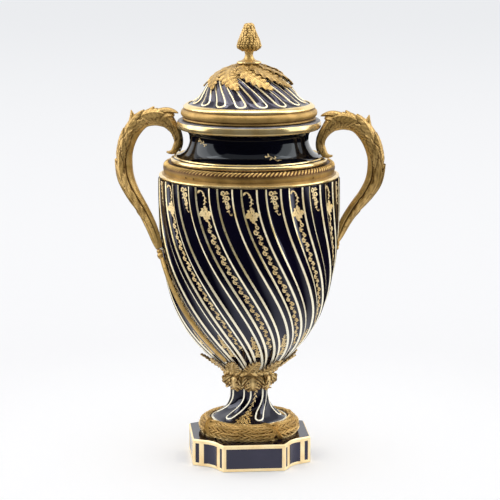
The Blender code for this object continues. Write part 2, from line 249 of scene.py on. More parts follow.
# Each gilding: its colour, its dull colour, range of roughness, scale and depth of grain,
# tint of the painted shade in hollows, mottle and metal
gildings = {
    "giltLine": (
        (1.00, 0.90, 0.63), (0.80, 0.62, 0.29), (0.20, 0.34), (500.0, 0.06),
        (0.7, 0.6, 0.5), 0.45, 0.26),
    # Painted shade: a darker, more metallic copy of giltLine for the line on the shaded side of each flute
    "giltLineInShade": (
        (0.97, 0.86, 0.56), (0.70, 0.56, 0.24), (0.22, 0.36), (500.0, 0.06),
        (0.7, 0.6, 0.5), 0.5, 0.66),
    "giltEdge": (
        (1.00, 0.81, 0.47), (0.94, 0.69, 0.35), (0.26, 0.42), (500.0, 0.06),
        (0.7, 0.6, 0.5), 0.25, 0.35),
    "giltRelief": (
        (1.00, 0.80, 0.44), (0.80, 0.57, 0.24), (0.30, 0.46), (1200.0, 0.25),
        (0.35, 0.22, 0.10), 0.7, 0.40),
    "matteBronze": (
        (0.56, 0.355, 0.112), (0.36, 0.22, 0.062), (0.38, 0.56), (1300.0, 0.55),
        (0.16, 0.09, 0.035), 0.7, 0.65),
    "giltBronze": (
        (0.73, 0.480, 0.165), (0.46, 0.285, 0.078), (0.22, 0.40), (1000.0, 0.90),
        (0.11, 0.055, 0.018), 0.85, 0.56),
    "burnishedBronze": (
        (1.00, 0.79, 0.40), (0.86, 0.61, 0.25), (0.16, 0.26), (240.0, 0.02),
        (0.4, 0.3, 0.2), 0.25, 0.84),
    # Painted light: a paler copy of the gilt bronze for the knop and calyx leaves, which sit in shade under
    # the body, and a painted highlight on the laurel midribs
    "paintedLightBronze": (
        (1.00, 0.74, 0.33), (0.64, 0.42, 0.15), (0.22, 0.38), (1000.0, 0.80),
        (0.09, 0.045, 0.016), 0.85, 0.50),
}

# Lines painted paler and less metallic towards the foot, a painted reflection of the bright floor that
# the lower lines face: colour and metal there, and the two heights in metres between which they change
paintedFloorShine = {
    "giltLine": ((1.00, 0.95, 0.76, 1.0), 0.05, (0.15, 0.27)),
    "giltLineInShade": ((1.00, 0.92, 0.70, 1.0), 0.12, (0.15, 0.24)),
}


def makePorcelain(name):
    # Glossy cobalt glaze: a slow drift of colour, faint waves and pinholes
    deep, light, shine, tint = glazes[name]
    finish, tree, shader, spot = newFinish(name, {
        "IOR": 1.55, "Specular IOR Level": shine, "Specular Tint": (*tint, 1.0)})
    setInputs(tree, shader, {
        "Base Color": addRamp(tree, addNoise(tree, spot, 22.0), [(0.3, deep), (0.7, light)]),
        "Roughness": addRange(tree, addNoise(tree, spot, 160.0), 0.05, 0.12),
        "Normal": addBump(tree, addNoise(tree, spot, 55.0, 1.0), 0.10, 0.0006)})
    return finish


def makeBiscuit():
    # The bare ground edge of the mouth: grey, a little stained
    finish, tree, shader, spot = newFinish("biscuitRim", {})
    stains = [(0.35, (0.09, 0.085, 0.09)), (0.65, (0.18, 0.175, 0.19))]
    setInputs(tree, shader, {
        "Base Color": addRamp(tree, addNoise(tree, spot, 130.0, 4.0), stains),
        "Roughness": addRange(tree, addNoise(tree, spot, 300.0), 0.3, 0.5),
        "Normal": addBump(tree, addNoise(tree, spot, 1600.0), 0.15, 0.0002)})
    return finish


def makeGilding(name):
    # Gilding and gilt bronze: cloudy colour, painted shade in hollows, creases and under other parts, fine
    # grain
    colour, dull, roughness, grain, hollowShadeTint, mottle, metal = gildings[name]
    finish, tree, shader, spot = newFinish(name, {"Metallic": metal})
    cloud = addRamp(tree, addNoise(tree, spot, 70.0, 4.0), [(0.32, dull), (0.62, colour)])
    speck = addRamp(tree, addNoise(tree, spot, 900.0, 2.0), [(0.28, (0.62, 0.58, 0.52)), (0.48, white)])
    tone = addMix(tree, mottle, cloud, speck, "MULTIPLY")
    # Painted reflection of the bright floor: the lines turn paler and less metallic towards the foot
    if name in paintedFloorShine:
        pale, paleMetal, reach = paintedFloorShine[name]
        height = addNode(tree, "SeparateXYZ", {"Vector": spot}).outputs["Z"]
        rise = addRange(tree, height, 0.0, 1.0, *reach)
        tone = addMix(tree, rise, pale, tone)
        setInputs(tree, shader, {"Metallic": addRange(tree, rise, paleMetal, metal)})
    # Painted shade: the hollow attribute darkens the colour towards the hollow tint
    hollow = addNode(tree, "Attribute", {}, attribute_name="hollow").outputs["Fac"]
    shade = addRamp(tree, hollow, [(0.0, white), (1.0, hollowShadeTint)])
    setInputs(tree, shader, {
        "Base Color": addMix(tree, 1.0, tone, shade, "MULTIPLY"),
        "Roughness": addRange(tree, addNoise(tree, spot, 240.0), *roughness),
        "Normal": addBump(tree, addNoise(tree, spot, grain[0]), grain[1], 0.0004)})
    return finish


porcelain, neckShadePorcelain, lidSheenPorcelain, panelSheenPorcelain = (makePorcelain(name) for name in glazes)
biscuit = makeBiscuit()
giltLine, giltLineInShade, giltEdge, giltRelief, matteBronze, bronze, burnished, paintedLightBronze = (
    makeGilding(name) for name in gildings)
print("finishes: four glazes, bare biscuit, four gildings and four bronzes")


# Tools for shaping
def smoothRows(rows, steps):
    # A smooth run through rows of numbers, keeping every row
    rows = np.array(rows, float)
    result = []
    for i in range(len(rows) - 1):
        a, b, c, d = (rows[min(max(i + k, 0), len(rows) - 1)] for k in (-1, 0, 1, 2))
        for t in np.arange(steps) / steps:
            bend = (c - a) * t + (2 * a - 5 * b + 4 * c - d) * t ** 2 + (3 * b - a - 3 * c + d) * t ** 3
            result.append(b + 0.5 * bend)
    result.append(rows[-1])
    return np.array(result)


def readPlaces(items, field):
    flat = np.empty(len(items) * 3)
    items.foreach_get(field, flat)
    return flat.reshape(-1, 3) / mm


def readPoints(piece):
    return readPlaces(piece.data.vertices, "co")


def faceCentres(piece):
    return readPlaces(piece.data.polygons, "center")


def writePoints(piece, points):
    piece.data.vertices.foreach_set("co", (points * mm).ravel())
    piece.data.update()


def aroundAxis(places):
    # Radius, azimuth and height of each place
    x, y, z = places.T
    return np.hypot(x, y), np.degrees(np.arctan2(y, x)), z


def polar(radius, azimuth, height):
    turn = np.radians(azimuth)
    return np.stack(np.broadcast_arrays(radius * np.cos(turn), radius * np.sin(turn), height), -1)


def unitRows(rows):
    return rows / np.linalg.norm(rows, axis=-1, keepdims=True)


def walkAlong(path):
    # Distance walked from the first row to each row
    return np.concatenate([[0.0], np.cumsum(np.linalg.norm(np.diff(path, axis=0), axis=1))])


def setFinishes(piece, finishes, choice=None):
    piece.data.materials.clear()
    for finish in finishes:
        piece.data.materials.append(finish)
    if choice is not None:
        piece.data.polygons.foreach_set("material_index", np.asarray(choice, np.int32))
        piece.data.update()


def markHollowShade(piece, values):
    # The hollow attribute holds painted shade, from none at 0 to full at 1
    layer = piece.data.attributes.get("hollow") or piece.data.attributes.new("hollow", "FLOAT", "POINT")
    layer.data.foreach_set("value", np.clip(np.zeros(len(piece.data.vertices)) + values, 0.0, 1.0))


def smoothShade(piece, angle):
    makeActive(piece)
    bpy.ops.object.shade_smooth_by_angle(angle=math.radians(angle))


def selectFaces(piece, wanted):
    # Enters edit mode with only the wanted faces selected
    makeActive(piece)
    bpy.context.tool_settings.mesh_select_mode = (False, False, True)
    bpy.ops.object.mode_set(mode="EDIT")
    bpy.ops.mesh.select_all(action="DESELECT")
    bpy.ops.object.mode_set(mode="OBJECT")
    piece.data.polygons.foreach_set("select", np.asarray(wanted, bool))
    bpy.ops.object.mode_set(mode="EDIT")


def mendNormals(piece):
    makeActive(piece)
    bpy.ops.object.mode_set(mode="EDIT")
    bpy.ops.mesh.select_all(action="SELECT")
    bpy.ops.mesh.normals_make_consistent(inside=False)
    bpy.ops.object.mode_set(mode="OBJECT")


def settle(piece, slot, *nodes):
    # Ties a finished piece to the frame
    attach(piece, "root")
    if nodes:
        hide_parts(*nodes)
    print(f"{piece.name}: {len(piece.data.polygons)} faces")


def finishPiece(piece, finishes, angle, slot, *nodes, choice=None, hollow=None):
    setFinishes(piece, finishes, choice)
    if hollow is not None:
        markHollowShade(piece, hollow)
    smoothShade(piece, angle)
    settle(piece, slot, *nodes)


def turnProfile(name, rows, steps, closed=True):
    # A profile of radius and height, drawn point by point and spun round the axis
    deselectAll()
    bpy.ops.mesh.primitive_plane_add(size=mm)
    piece = bpy.context.object
    piece.name = piece.data.name = name
    bpy.context.tool_settings.mesh_select_mode = (True, False, False)
    bpy.ops.object.mode_set(mode="EDIT")
    bpy.ops.mesh.select_all(action="SELECT")
    bpy.ops.mesh.merge(type="CENTER")
    bpy.ops.transform.translate(value=(rows[0][0] * mm, 0.0, rows[0][1] * mm))
    ends = list(rows) + ([rows[0]] if closed else [])
    for (r0, z0), (r1, z1) in zip(ends, ends[1:]):
        move = ((r1 - r0) * mm, 0.0, (z1 - z0) * mm)
        bpy.ops.mesh.extrude_region_move(TRANSFORM_OT_translate={"value": move})
    bpy.ops.mesh.select_all(action="SELECT")
    bpy.ops.mesh.remove_doubles(threshold=1e-6)
    bpy.ops.mesh.spin(steps=steps, angle=2.0 * math.pi, center=(0.0, 0.0, 0.0), axis=(0.0, 0.0, 1.0))
    bpy.ops.mesh.select_all(action="SELECT")
    bpy.ops.mesh.remove_doubles(threshold=1e-6)
    bpy.ops.mesh.normals_make_consistent(inside=False)
    bpy.ops.object.mode_set(mode="OBJECT")
    return piece


def meshPiece(name, points, faces, hollow, finish, angle=60.0, mend=True):
    mesh = bpy.data.meshes.new(name)
    mesh.from_pydata((np.asarray(points) * mm).tolist(), [], faces)
    piece = bpy.data.objects.new(name, mesh)
    scene.collection.objects.link(piece)
    setFinishes(piece, [finish])
    if mend:
        mendNormals(piece)
    smoothShade(piece, angle)
    markHollowShade(piece, hollow)
    return piece


def climb(value, start, run):
    # 0 at the start, 1 at the end of the run and level beyond both; a negative run climbs downwards
    return np.clip((value - start) / run, 0.0, 1.0)


def eased(share):
    return share ** 2 * (3.0 - 2.0 * share)


def stillRelief(radius, height, azimuth):
    return 0.0 * radius


def noTwist(radius, height):
    return 0.0 * height


class TurnedSurface:
    # A turned outline walked by arc length from its first row, with relief and twist laid on it
    def __init__(self, rows, twist=noTwist, relief=stillRelief):
        self.rows = np.asarray(rows, float)
        run = np.gradient(self.rows, axis=0)
        normal = np.stack([-run[:, 1], run[:, 0]], 1)
        self.normal = unitRows(normal * math.copysign(1.0, normal[:, 0].sum()))
        self.walk = walkAlong(self.rows)
        self.twist = twist
        self.relief = relief
        turn = np.radians(np.gradient(twist(*self.rows.T), self.walk))
        stretch = np.sqrt(1.0 + (self.rows[:, 0] * turn) ** 2)
        steps = 0.5 * (stretch[1:] + stretch[:-1]) * np.diff(self.walk)
        self.long = np.concatenate([[0.0], np.cumsum(steps)])

    def outline(self, walk):
        # Radius and height at a walked length
        return [np.interp(walk, self.walk, self.rows[:, k]) for k in (0, 1)]

    def facing(self, walk):
        # Outward normal at a walked length, as radial and vertical parts
        return [np.interp(walk, self.walk, self.normal[:, k]) for k in (0, 1)]

    def walkAtRadius(self, radius):
        return np.interp(-np.asarray(radius), -self.rows[:, 0], self.walk)

    def walkAtHeight(self, height):
        return np.interp(-np.asarray(height), -self.rows[:, 1], self.walk)

    def longAt(self, walk):
        # Length along a twisted flute at a walked length
        return np.interp(walk, self.walk, self.long)

    def at(self, walk, azimuth, lift):
        # A point at a walked length and azimuth, lifted off the surface
        r, z = self.outline(walk)
        nr, nz = self.facing(walk)
        lift = lift + self.relief(r, z, azimuth)
        return polar(r + nr * lift, azimuth, z + nz * lift)

    def lay(self, across, along, lift, start):
        # A point measured along a twisted flute and across it; start is its azimuth and first length
        walk = np.interp(start[1] + along, self.long, self.walk)
        r, z = self.outline(walk)
        azimuth = start[0] + self.twist(r, z) + np.degrees(across / np.maximum(r, 1.0))
        return self.at(walk, azimuth, lift)


def fluteLocal(azimuth, count):
    # Degrees from the middle of the nearest of so many flutes or ribs
    pitch = 360.0 / count
    return (azimuth + pitch / 2.0) % pitch - pitch / 2.0


# A stroke is a low rounded ridge along rows of across, along, half width and height
strokeSection = np.array([(1.0, -0.3), (0.8, 0.55), (0.0, 1.0), (-0.8, 0.55), (-1.0, -0.3)])


def stroke(start, across, along, half, high, ring=False):
    return np.stack(np.broadcast_arrays(across, along, half, high), -1).astype(float), start, ring


def layStrokes(name, strokes, skin, finish):
    points, faces, hollows, count = [], [], [], 0
    sides = len(strokeSection)
    for rows, start, ring in strokes:
        flat = rows[:, :2]
        run = np.roll(flat, -1, 0) - np.roll(flat, 1, 0) if ring else np.gradient(flat, axis=0)
        run = run / (np.linalg.norm(run, axis=1, keepdims=True) + 1e-9)
        side = np.stack([run[:, 1], -run[:, 0]], 1)
        spread = flat[:, None, :] + side[:, None, :] * strokeSection[None, :, :1] * rows[:, 2, None, None]
        lift = strokeSection[None, :, 1] * rows[:, 3, None]
        points.append(skin.lay(spread[..., 0].ravel(), spread[..., 1].ravel(), lift.ravel(), start))
        # Painted shade: the foot of every stroke, where it meets the surface, is marked fully hollow
        hollows.append(np.tile((strokeSection[:, 1] < 0.0) * 1.0, len(rows)))
        for i in range(len(rows) if ring else len(rows) - 1):
            here, there = count + i * sides, count + ((i + 1) % len(rows)) * sides
            for k in range(sides):
                after = (k + 1) % sides
                faces.append((here + k, here + after, there + after, there + k))
        if not ring:
            for end in (count, count + (len(rows) - 1) * sides):
                faces.append(tuple(end + k for k in range(sides)))
        count += len(rows) * sides
    return meshPiece(name, np.concatenate(points), faces, np.concatenate(hollows), finish)


def leafSheet(path, outward, shape):
    # A carved leaf over a midrib path: lobed edges that lean to the tip, ribs, hollows and curl
    path, outward = np.asarray(path, float), np.asarray(outward, float)
    walk = walkAlong(path)
    u = np.linspace(0.0, 1.0, shape["lobes"] * shape["perLobe"] + 1)
    spot, up = (np.stack([np.interp(u * walk[-1], walk, rows[:, k]) for k in range(3)], 1)
                for rows in (path, outward))
    ahead = unitRows(np.gradient(spot, axis=0))
    side = unitRows(np.cross(ahead, up))
    up = np.cross(side, ahead)
    v = np.linspace(-1.0, 1.0, 2 * shape["across"] + 1)
    v = np.sign(v) * np.abs(v) ** 0.85
    half = np.interp(u, *zip(*shape["widths"]))
    lobe = (u * shape["lobes"]) % 1.0
    edge = 1.0 - shape["notch"] * (1.0 - lobe) ** 1.3 * (u < 0.97)
    bulge = np.sin(np.pi * np.clip(lobe + 0.08, 0.0, 1.0))
    # From here on, rows run along the leaf and columns across it
    u, half, edge, bulge, v = u[:, None], half[:, None], edge[:, None], bulge[:, None], v[None, :]
    size = np.abs(v)
    lateral = v * half * (1.0 - (1.0 - edge) * size ** 1.5)
    forward = shape["lean"] * half * size ** 1.4 * (1.0 - 0.6 * u)
    height = (
        shape["carve"] * (bulge - 0.5) * np.minimum(size * 1.6, 1.0)
        + shape["rib"] * np.exp(-((v / 0.15) ** 2))
        + shape.get("cup", 0.0) * size ** 2 * half
        - lateral ** 2 / (2.0 * shape["wrap"])
        + shape["curl"] * u ** shape.get("curlPower", 3.0)
        + shape.get("roll", 0.0) * lateral
    )
    moves = ((lateral, side), (forward, ahead), (height, up))
    grid = spot[:, None] + sum(amount[..., None] * way[:, None] for amount, way in moves)
    # Painted shade in the notches between lobes and in a line to each side of the midrib
    hollow = np.minimum(1.35 * (1.0 - bulge), 1.0) * np.minimum(size * 2.0, 1.0)
    hollow = np.maximum(hollow, 0.8 * np.exp(-(((size - 0.24) / 0.09) ** 2)))
    return grid, hollow


def leafOnRound(radius, height, azimuth, shape, flip=1.0):
    # A leaf whose midrib follows rows of radius, height and azimuth, and that faces away from the axis
    rows = np.broadcast_arrays(radius, height, azimuth)
    radius, height, azimuth = (row.astype(float) for row in rows)
    spots = polar(radius, azimuth, height)
    run = np.gradient(spots, axis=0)
    profile = unitRows(np.stack([np.gradient(radius), np.gradient(height)], 1))
    outward = polar(-profile[:, 1] * flip, azimuth, profile[:, 0] * flip)
    outward = outward - run * (np.sum(outward * run, 1) / np.sum(run * run, 1))[:, None]
    return leafSheet(spots, outward, shape)


def layLeaves(name, leaves, finish, thickness=0.8):
    # Many leaf sheets in one piece, thickened downwards by a Solidify that is then applied
    points, faces, hollows, count = [], [], [], 0
    for grid, hollow in leaves:
        n, m = grid.shape[:2]
        points.append(grid.reshape(-1, 3))
        hollows.append(hollow.ravel())
        for i in range(n - 1):
            for j in range(m - 1):
                a = count + i * m + j
                faces.append((a, a + 1, a + m + 1, a + m))
        count += n * m
    piece = meshPiece(name, np.concatenate(points), faces, np.concatenate(hollows), finish, mend=False)
    makeActive(piece)
    thicken = piece.modifiers.new("thickness", "SOLIDIFY")
    thicken.thickness = thickness * mm
    thicken.offset = -1.0
    bpy.ops.object.modifier_apply(modifier="thickness")
    smoothShade(piece, 60.0)
    return piece


# Body: twisted flutes between raised bands, with a gilt line along both edges of every flute
body = {
    "flutes": 24, "fluteHalf": 5.0, "depth": 1.9, "bandCrown": 0.35,
    "rim": 300.7, "twistRate": 0.4, "twistRun": 130.0,
    # Gilt lines: half width by height, middle and outer limit in degrees, and how far they stand up
    "lineHalf": ((190.0, 1.25), (290.0, 0.85)), "lineSet": 4.7, "lineLimit": 7.2, "lineLift": 0.12,
    # Columns of faces in a flute and its band, and the column that a line takes
    "columns": 16, "lineColumn": 5,
    "outline": [
        (94.4, 300.7), (94.5, 285.0), (94.4, 270.0), (93.9, 255.0), (92.9, 234.0), (90.4, 211.0),
        (86.4, 190.0), (80.8, 169.0), (72.9, 150.0), (63.3, 134.0), (51.4, 119.4), (37.8, 106.0),
        (27.0, 98.0), (19.5, 92.0),
    ],
    "inside": [
        (0.0, 104.0), (22.0, 104.0), (36.0, 114.0), (49.0, 128.0), (60.0, 144.0), (69.0, 160.0),
        (77.0, 182.0), (82.6, 208.0), (86.2, 235.0), (87.4, 250.0), (89.3, 300.7),
    ],
}
bodyRadius, bodyFoot = body["outline"][0][0], body["outline"][-1]


def bodyTwist(radius, height):
    fall = np.clip((body["rim"] - height) / body["twistRun"], 0.0, None)
    reach = body["twistRate"] * body["twistRun"]
    return reach * np.where(fall <= 1.0, fall ** 2 - fall ** 3 / 3.0, fall - 1.0 / 3.0)


def bodyRelief(radius, height, azimuth):
    # Hollow flutes, and bands that crown a little
    middle = 180.0 / body["flutes"]
    local = np.abs(fluteLocal(azimuth - bodyTwist(radius, height), body["flutes"]))
    flute = -body["depth"] * (1.0 - (local / body["fluteHalf"]) ** 2)
    band = body["bandCrown"] * (1.0 - ((local - middle) / (middle - body["fluteHalf"])) ** 2)
    return radius / bodyRadius * np.where(local < body["fluteHalf"], flute, band)


bodyRows = smoothRows(body["outline"], 8)
bodySkin = TurnedSurface(bodyRows, bodyTwist, bodyRelief)


def makeBody():
    columns, lineColumn = body["columns"], body["lineColumn"]
    turn = 360.0 / (body["flutes"] * columns)
    profile = [(0.0, bodyFoot[1])] + bodyRows[::-1].tolist() + body["inside"][::-1]
    piece = turnProfile("flutedBody", profile, body["flutes"] * columns, closed=False)

    def isOutside(radius, height):
        shell = bodySkin.outline(bodySkin.walkAtHeight(height))[0]
        return (np.abs(radius - shell) < 1.2) & (radius > bodyFoot[0] - 0.5)

    radius, azimuth, height = aroundAxis(faceCentres(piece))
    column = np.floor(azimuth / turn).astype(int) % columns
    # The line on one side of each flute takes giltLine, the line on the other its darker copy, painted shade
    lit, shaded = column == lineColumn, column == columns - lineColumn - 1
    lines = (1 * lit + 2 * shaded) * isOutside(radius, height)
    # Columns of points gather at the gilt lines, which keep their width as the body narrows
    points = readPoints(piece)
    radius, azimuth, height = aroundAxis(points)
    index = np.round(azimuth / turn).astype(int)
    within = (index + columns // 2) % columns - columns // 2
    half = np.degrees(np.interp(height, *zip(*body["lineHalf"])) / np.maximum(radius, bodyFoot[0] + 0.5))
    inner, outer = body["lineSet"] - half, np.minimum(body["lineSet"] + half, body["lineLimit"])
    size = np.abs(within)
    flute = inner * np.sin(np.pi / 2.0 * np.minimum(size / lineColumn, 1.0)) ** 0.85
    spare = columns // 2 - lineColumn - 1
    band = outer + (180.0 / body["flutes"] - outer) * (size - lineColumn - 1) / spare
    local = np.where(size <= lineColumn, flute, band) * np.sign(within)
    moved = (index - within) * turn + local + bodyTwist(radius, height)
    lift = body["lineLift"] * ((size == lineColumn) | (size == lineColumn + 1))
    carved = bodySkin.at(bodySkin.walkAtHeight(height), moved, lift)
    writePoints(piece, np.where(isOutside(radius, height)[:, None], carved, points))
    finishPiece(piece, [porcelain, giltLine, giltLineInShade], 35.0, "blue_porcelain", "body", choice=lines)


makeBody()


# Neck: a waisted porcelain ring with gilt edges and a bare mouth
neck = {
    "rows": [
        (58.6, 359.6), (59.2, 360.0), (71.6, 360.0), (73.2, 359.7), (73.9, 358.9), (74.4, 357.9),
        (74.7, 356.4), (74.75, 354.8), (74.5, 353.2), (73.9, 352.0), (72.9, 351.2), (71.0, 350.6),
        (67.6, 349.6), (64.6, 348.2), (62.8, 346.2), (61.9, 343.4), (61.7, 340.0), (62.1, 336.4),
        (63.2, 332.6), (65.2, 328.8), (67.6, 326.0), (70.4, 324.0), (73.2, 322.8), (75.4, 322.3),
        (75.9, 322.7), (76.8, 323.1), (77.8, 322.8), (78.3, 322.0), (78.8, 321.3), (79.4, 321.1),
        (80.2, 321.0), (80.9, 320.5), (81.3, 319.4), (81.3, 318.0), (81.0, 316.9), (80.4, 316.2),
        (80.0, 315.7), (70.0, 315.7), (62.6, 322.4), (60.6, 327.0), (58.4, 334.0), (57.6, 342.0),
    ],
    # Gilt parts: lowest and highest height, least and greatest radius
    "gilt": [(350.8, 358.9, 71.0, 90.0), (321.9, 330.0, 75.5, 78.2), (316.9, 330.0, 79.2, 90.0)],
    "bare": (358.9, 370.0, 59.5, 90.0),
    "sprigRows": [
        (74.5, 353.2), (67.6, 349.6), (62.8, 346.2), (61.7, 340.0), (63.2, 332.6), (67.6, 325.8),
        (73.4, 322.2)],
    # Sprigs: azimuth, height, tilt and size
    "sprigs": [
        (-68.0, 327.4, 24.0, 0.95), (-140.0, 340.5, 18.0, 0.8), (112.0, 327.4, 24.0, 0.95),
        (40.0, 340.5, 18.0, 0.8)],
    # Curls of a sprig: where each leaves the stem, and to which side
    "curls": [(-6.0, -1.0), (-2.4, 1.0), (2.0, -1.0), (5.6, 1.0)],
}


def makeNeck():
    piece = turnProfile("waistedNeck", neck["rows"], 192)
    radius, _, height = aroundAxis(faceCentres(piece))

    def within(low, high, near, far):
        return (height > low) & (height < high) & (radius > near) & (radius < far)

    gilt = np.any([within(*part) for part in neck["gilt"]], axis=0)
    choice = np.where(gilt, 1, np.where(within(*neck["bare"]), 2, 0))
    # The neck takes the darker copy of the body glaze, painted shade
    finishPiece(piece, [neckShadePorcelain, burnished, biscuit], 40.0, "blue_porcelain", "neck", choice=choice)


makeNeck()


# Collar: a convex bronze face with a rope round its shoulder and small pits left by the casting
collar = {
    "rows": [
        (84.0, 301.0), (93.0, 301.0), (93.6, 301.5), (93.8, 302.4), (93.4, 303.3), (92.4, 303.9),
        (90.6, 304.2), (89.0, 304.6), (88.3, 305.4), (88.3, 306.6), (88.8, 307.8), (89.2, 309.2),
        (89.3, 310.8), (88.9, 312.4), (87.9, 314.0), (86.4, 315.2), (84.6, 315.8), (82.8, 315.8),
        (81.8, 315.4), (78.0, 315.4), (78.0, 311.0),
    ],
    "shoulder": [(83.4, 315.9), (85.4, 315.6), (87.2, 314.6), (88.6, 312.8), (89.2, 310.9), (89.1, 309.6)],
    "face": [(89.3, 310.8), (88.8, 307.8), (88.3, 305.4)],
    # Burnished lip: least radius and greatest height
    "lip": (91.0, 304.1),
    # Painted shadows: least height and radius of the one under the rope; middle, reach and least radius of
    # the painted shade above the lip
    "underRope": (310.2, 81.0), "aboveLip": (305.6, 0.9, 86.0),
    "strands": 126, "ropeFall": 6.2, "ropeLean": 2.8, "pits": (-136.0, -129.0, -43.0, 52.0, 128.0),
}


def makeCollar():
    piece = turnProfile("collarRing", collar["rows"], 240)
    radius, _, height = aroundAxis(faceCentres(piece))
    bright = (radius > collar["lip"][0]) & (height < collar["lip"][1])
    radius, _, height = aroundAxis(readPoints(piece))
    # Painted shadow under the rope and painted shade above the lip, put into the hollow attribute
    low, near = collar["underRope"]
    underRope = climb(height, low, 1.0) * (radius > near)
    middle, reach, near = collar["aboveLip"]
    aboveLip = 0.5 * np.exp(-((height - middle) / reach) ** 2) * (radius > near)
    dark = np.maximum(underRope, aboveLip)
    finishPiece(
        piece, [matteBronze, burnished], 35.0, "gilt_bronze", "collar", choice=bright, hollow=dark)
    t = np.linspace(0.0, 1.0, 6)
    strands = []
    for i in range(collar["strands"]):
        stout = 1.0 + 0.22 * math.sin(2.3 * i) * math.cos(0.7 * i)
        strands.append(stroke(
            (360.0 * i / collar["strands"], 0.0),
            collar["ropeLean"] * (1.0 - 2.0 * t), 0.6 + collar["ropeFall"] * t,
            stout * (0.3 + 0.7 * np.sin(np.pi * (0.05 + 0.9 * t))),
            1.05 * stout * (0.2 + 0.8 * np.sin(np.pi * (0.06 + 0.88 * t)))))
    shoulder = TurnedSurface(smoothRows(collar["shoulder"], 4))
    settle(layStrokes("collarRope", strands, shoulder, bronze), "gilt_bronze")
    t = np.linspace(0.0, 2.0 * math.pi, 8, endpoint=False)
    pits = [stroke((azimuth, 0.0), 0.5 * np.cos(t), 3.0 + 0.6 * np.sin(t), 0.55, 0.12, ring=True)
            for azimuth in collar["pits"]]
    # Each pit is a small ring painted fully dark, painted shade inside the pit
    marks = layStrokes("collarPits", pits, TurnedSurface(collar["face"]), matteBronze)
    markHollowShade(marks, 1.0)
    settle(marks, "gilt_bronze")


makeCollar()


# Rim of the lid: a bronze ring between a lower lip and a burnished upper edge
lidRim = {
    "rows": [
        (64.7, 375.0), (64.7, 360.9), (65.4, 360.7), (68.4, 360.7), (69.0, 361.1), (69.2, 361.8),
        (69.0, 362.5), (68.4, 363.0), (68.1, 363.4), (68.5, 363.8), (69.7, 364.5), (70.4, 365.7),
        (70.7, 367.1), (70.5, 368.7), (69.8, 370.1), (68.8, 371.1), (68.0, 371.6), (67.6, 372.0),
        (67.9, 372.5), (68.2, 373.3), (68.0, 374.2), (67.1, 375.2), (65.8, 376.2), (64.4, 377.0),
        (63.4, 377.2), (62.8, 376.7), (63.4, 375.4),
    ],
    "brightAbove": 372.2,
    # Grooves darkened with painted shade: depth of the shade, height and reach
    "grooves": [(0.9, 371.9, 0.45), (1.0, 363.3, 0.6), (0.6, 361.0, 0.5)],
}


def makeLidRim():
    piece = turnProfile("lidRing", lidRim["rows"], 192)
    bright = faceCentres(piece)[:, 2] > lidRim["brightAbove"]
    height = readPoints(piece)[:, 2]
    # Painted shade in the grooves between the mouldings
    dark = sum(depth * np.exp(-((height - middle) / reach) ** 2)
               for depth, middle, reach in lidRim["grooves"])
    finishPiece(
        piece, [matteBronze, burnished], 35.0, "gilt_bronze", "lid_rim", choice=bright, hollow=dark)


makeLidRim()


# Raised ribs with rounded ends and the hollows between them, as on the lid and the foot
def ribRelief(spec, twist, radius, azimuth, beyond, half):
    across = np.abs(np.radians(fluteLocal(azimuth - spec["offset"] - twist, spec["ribs"]))) * radius
    away = np.hypot(across, beyond) - half
    gap = np.maximum(math.pi / spec["ribs"] * radius - half, 0.5)
    inside = spec["ribEdge"] + (1.0 - spec["ribEdge"]) * np.clip(-away / half, 0.0, 1.0) ** 0.6
    sunk = spec["sink"] * np.sin(np.pi / 2.0 * np.clip(away / gap, 0.0, 1.0))
    return np.where(away < 0.0, spec["ribLift"] * inside, spec["ribLift"] * spec["ribEdge"] - sunk)


# How close a point lies to the outline to count as outside
onOutline = 0.02


def carveShell(piece, skin, shell, walk):
    # Moves the points of the outer shell by the twist and relief of its surface
    points = readPoints(piece)
    radius, azimuth, height = aroundAxis(points)
    carved = skin.at(walk, azimuth + skin.twist(radius, height), 0.0)
    writePoints(piece, np.where(shell[:, None], carved, points))


def ribLines(spec, skin, leg, end, bulb, turns):
    # A gilt line up one side of each rib, round its end and down the other. A leg is rows of half width and
    # walked length; the rounded end starts at the length end and bulges by bulb in so many turns.
    arc = [(-abs(bulb) * math.cos(turn), end + bulb * math.sin(turn))
           for turn in np.linspace(0.0, math.pi, turns)[1:-1]]
    across, walk = np.array([(-a, w) for a, w in leg] + arc + leg[::-1]).T
    starts = [(spec["offset"] + 360.0 * i / spec["ribs"], 0.0) for i in range(spec["ribs"])]
    return [stroke(start, across, skin.longAt(walk), *spec["line"]) for start in starts]


# Lid: a dome of raised ribs that spiral to the crown
lid = {
    "ribs": 16, "ribHalf": 5.6, "offset": -98.0, "spiral": 85.0, "spiralFade": (43.0, 61.0), "ribEnd": 58.6,
    "ribLift": 0.9, "ribEdge": 0.25, "sink": 1.1, "line": (1.0, 0.34), "lineReach": (20.0, 53.0),
    # The relief dies away under the crown and before the rim: start and run of each in radius
    "fades": [(18.0, 14.0), (62.6, -4.0)], "shellFrom": 4.0,
    "outline": [
        (63.5, 374.6), (62.9, 375.6), (61.8, 376.5), (59.6, 377.6), (57.0, 379.0), (54.2, 380.9),
        (51.4, 383.4), (46.6, 389.6), (41.2, 397.0), (34.4, 404.2), (24.0, 410.4), (12.0, 413.4),
        (0.0, 413.6),
    ],
    "inside": [
        (63.5, 360.3), (57.0, 360.3), (57.0, 351.9), (56.6, 351.5), (53.8, 351.5), (53.4, 351.9),
        (52.0, 364.0), (50.0, 375.0), (44.8, 385.0), (38.0, 393.0), (32.0, 399.4), (24.0, 404.6),
        (16.0, 407.4), (8.0, 408.6), (0.0, 408.8),
    ],
}


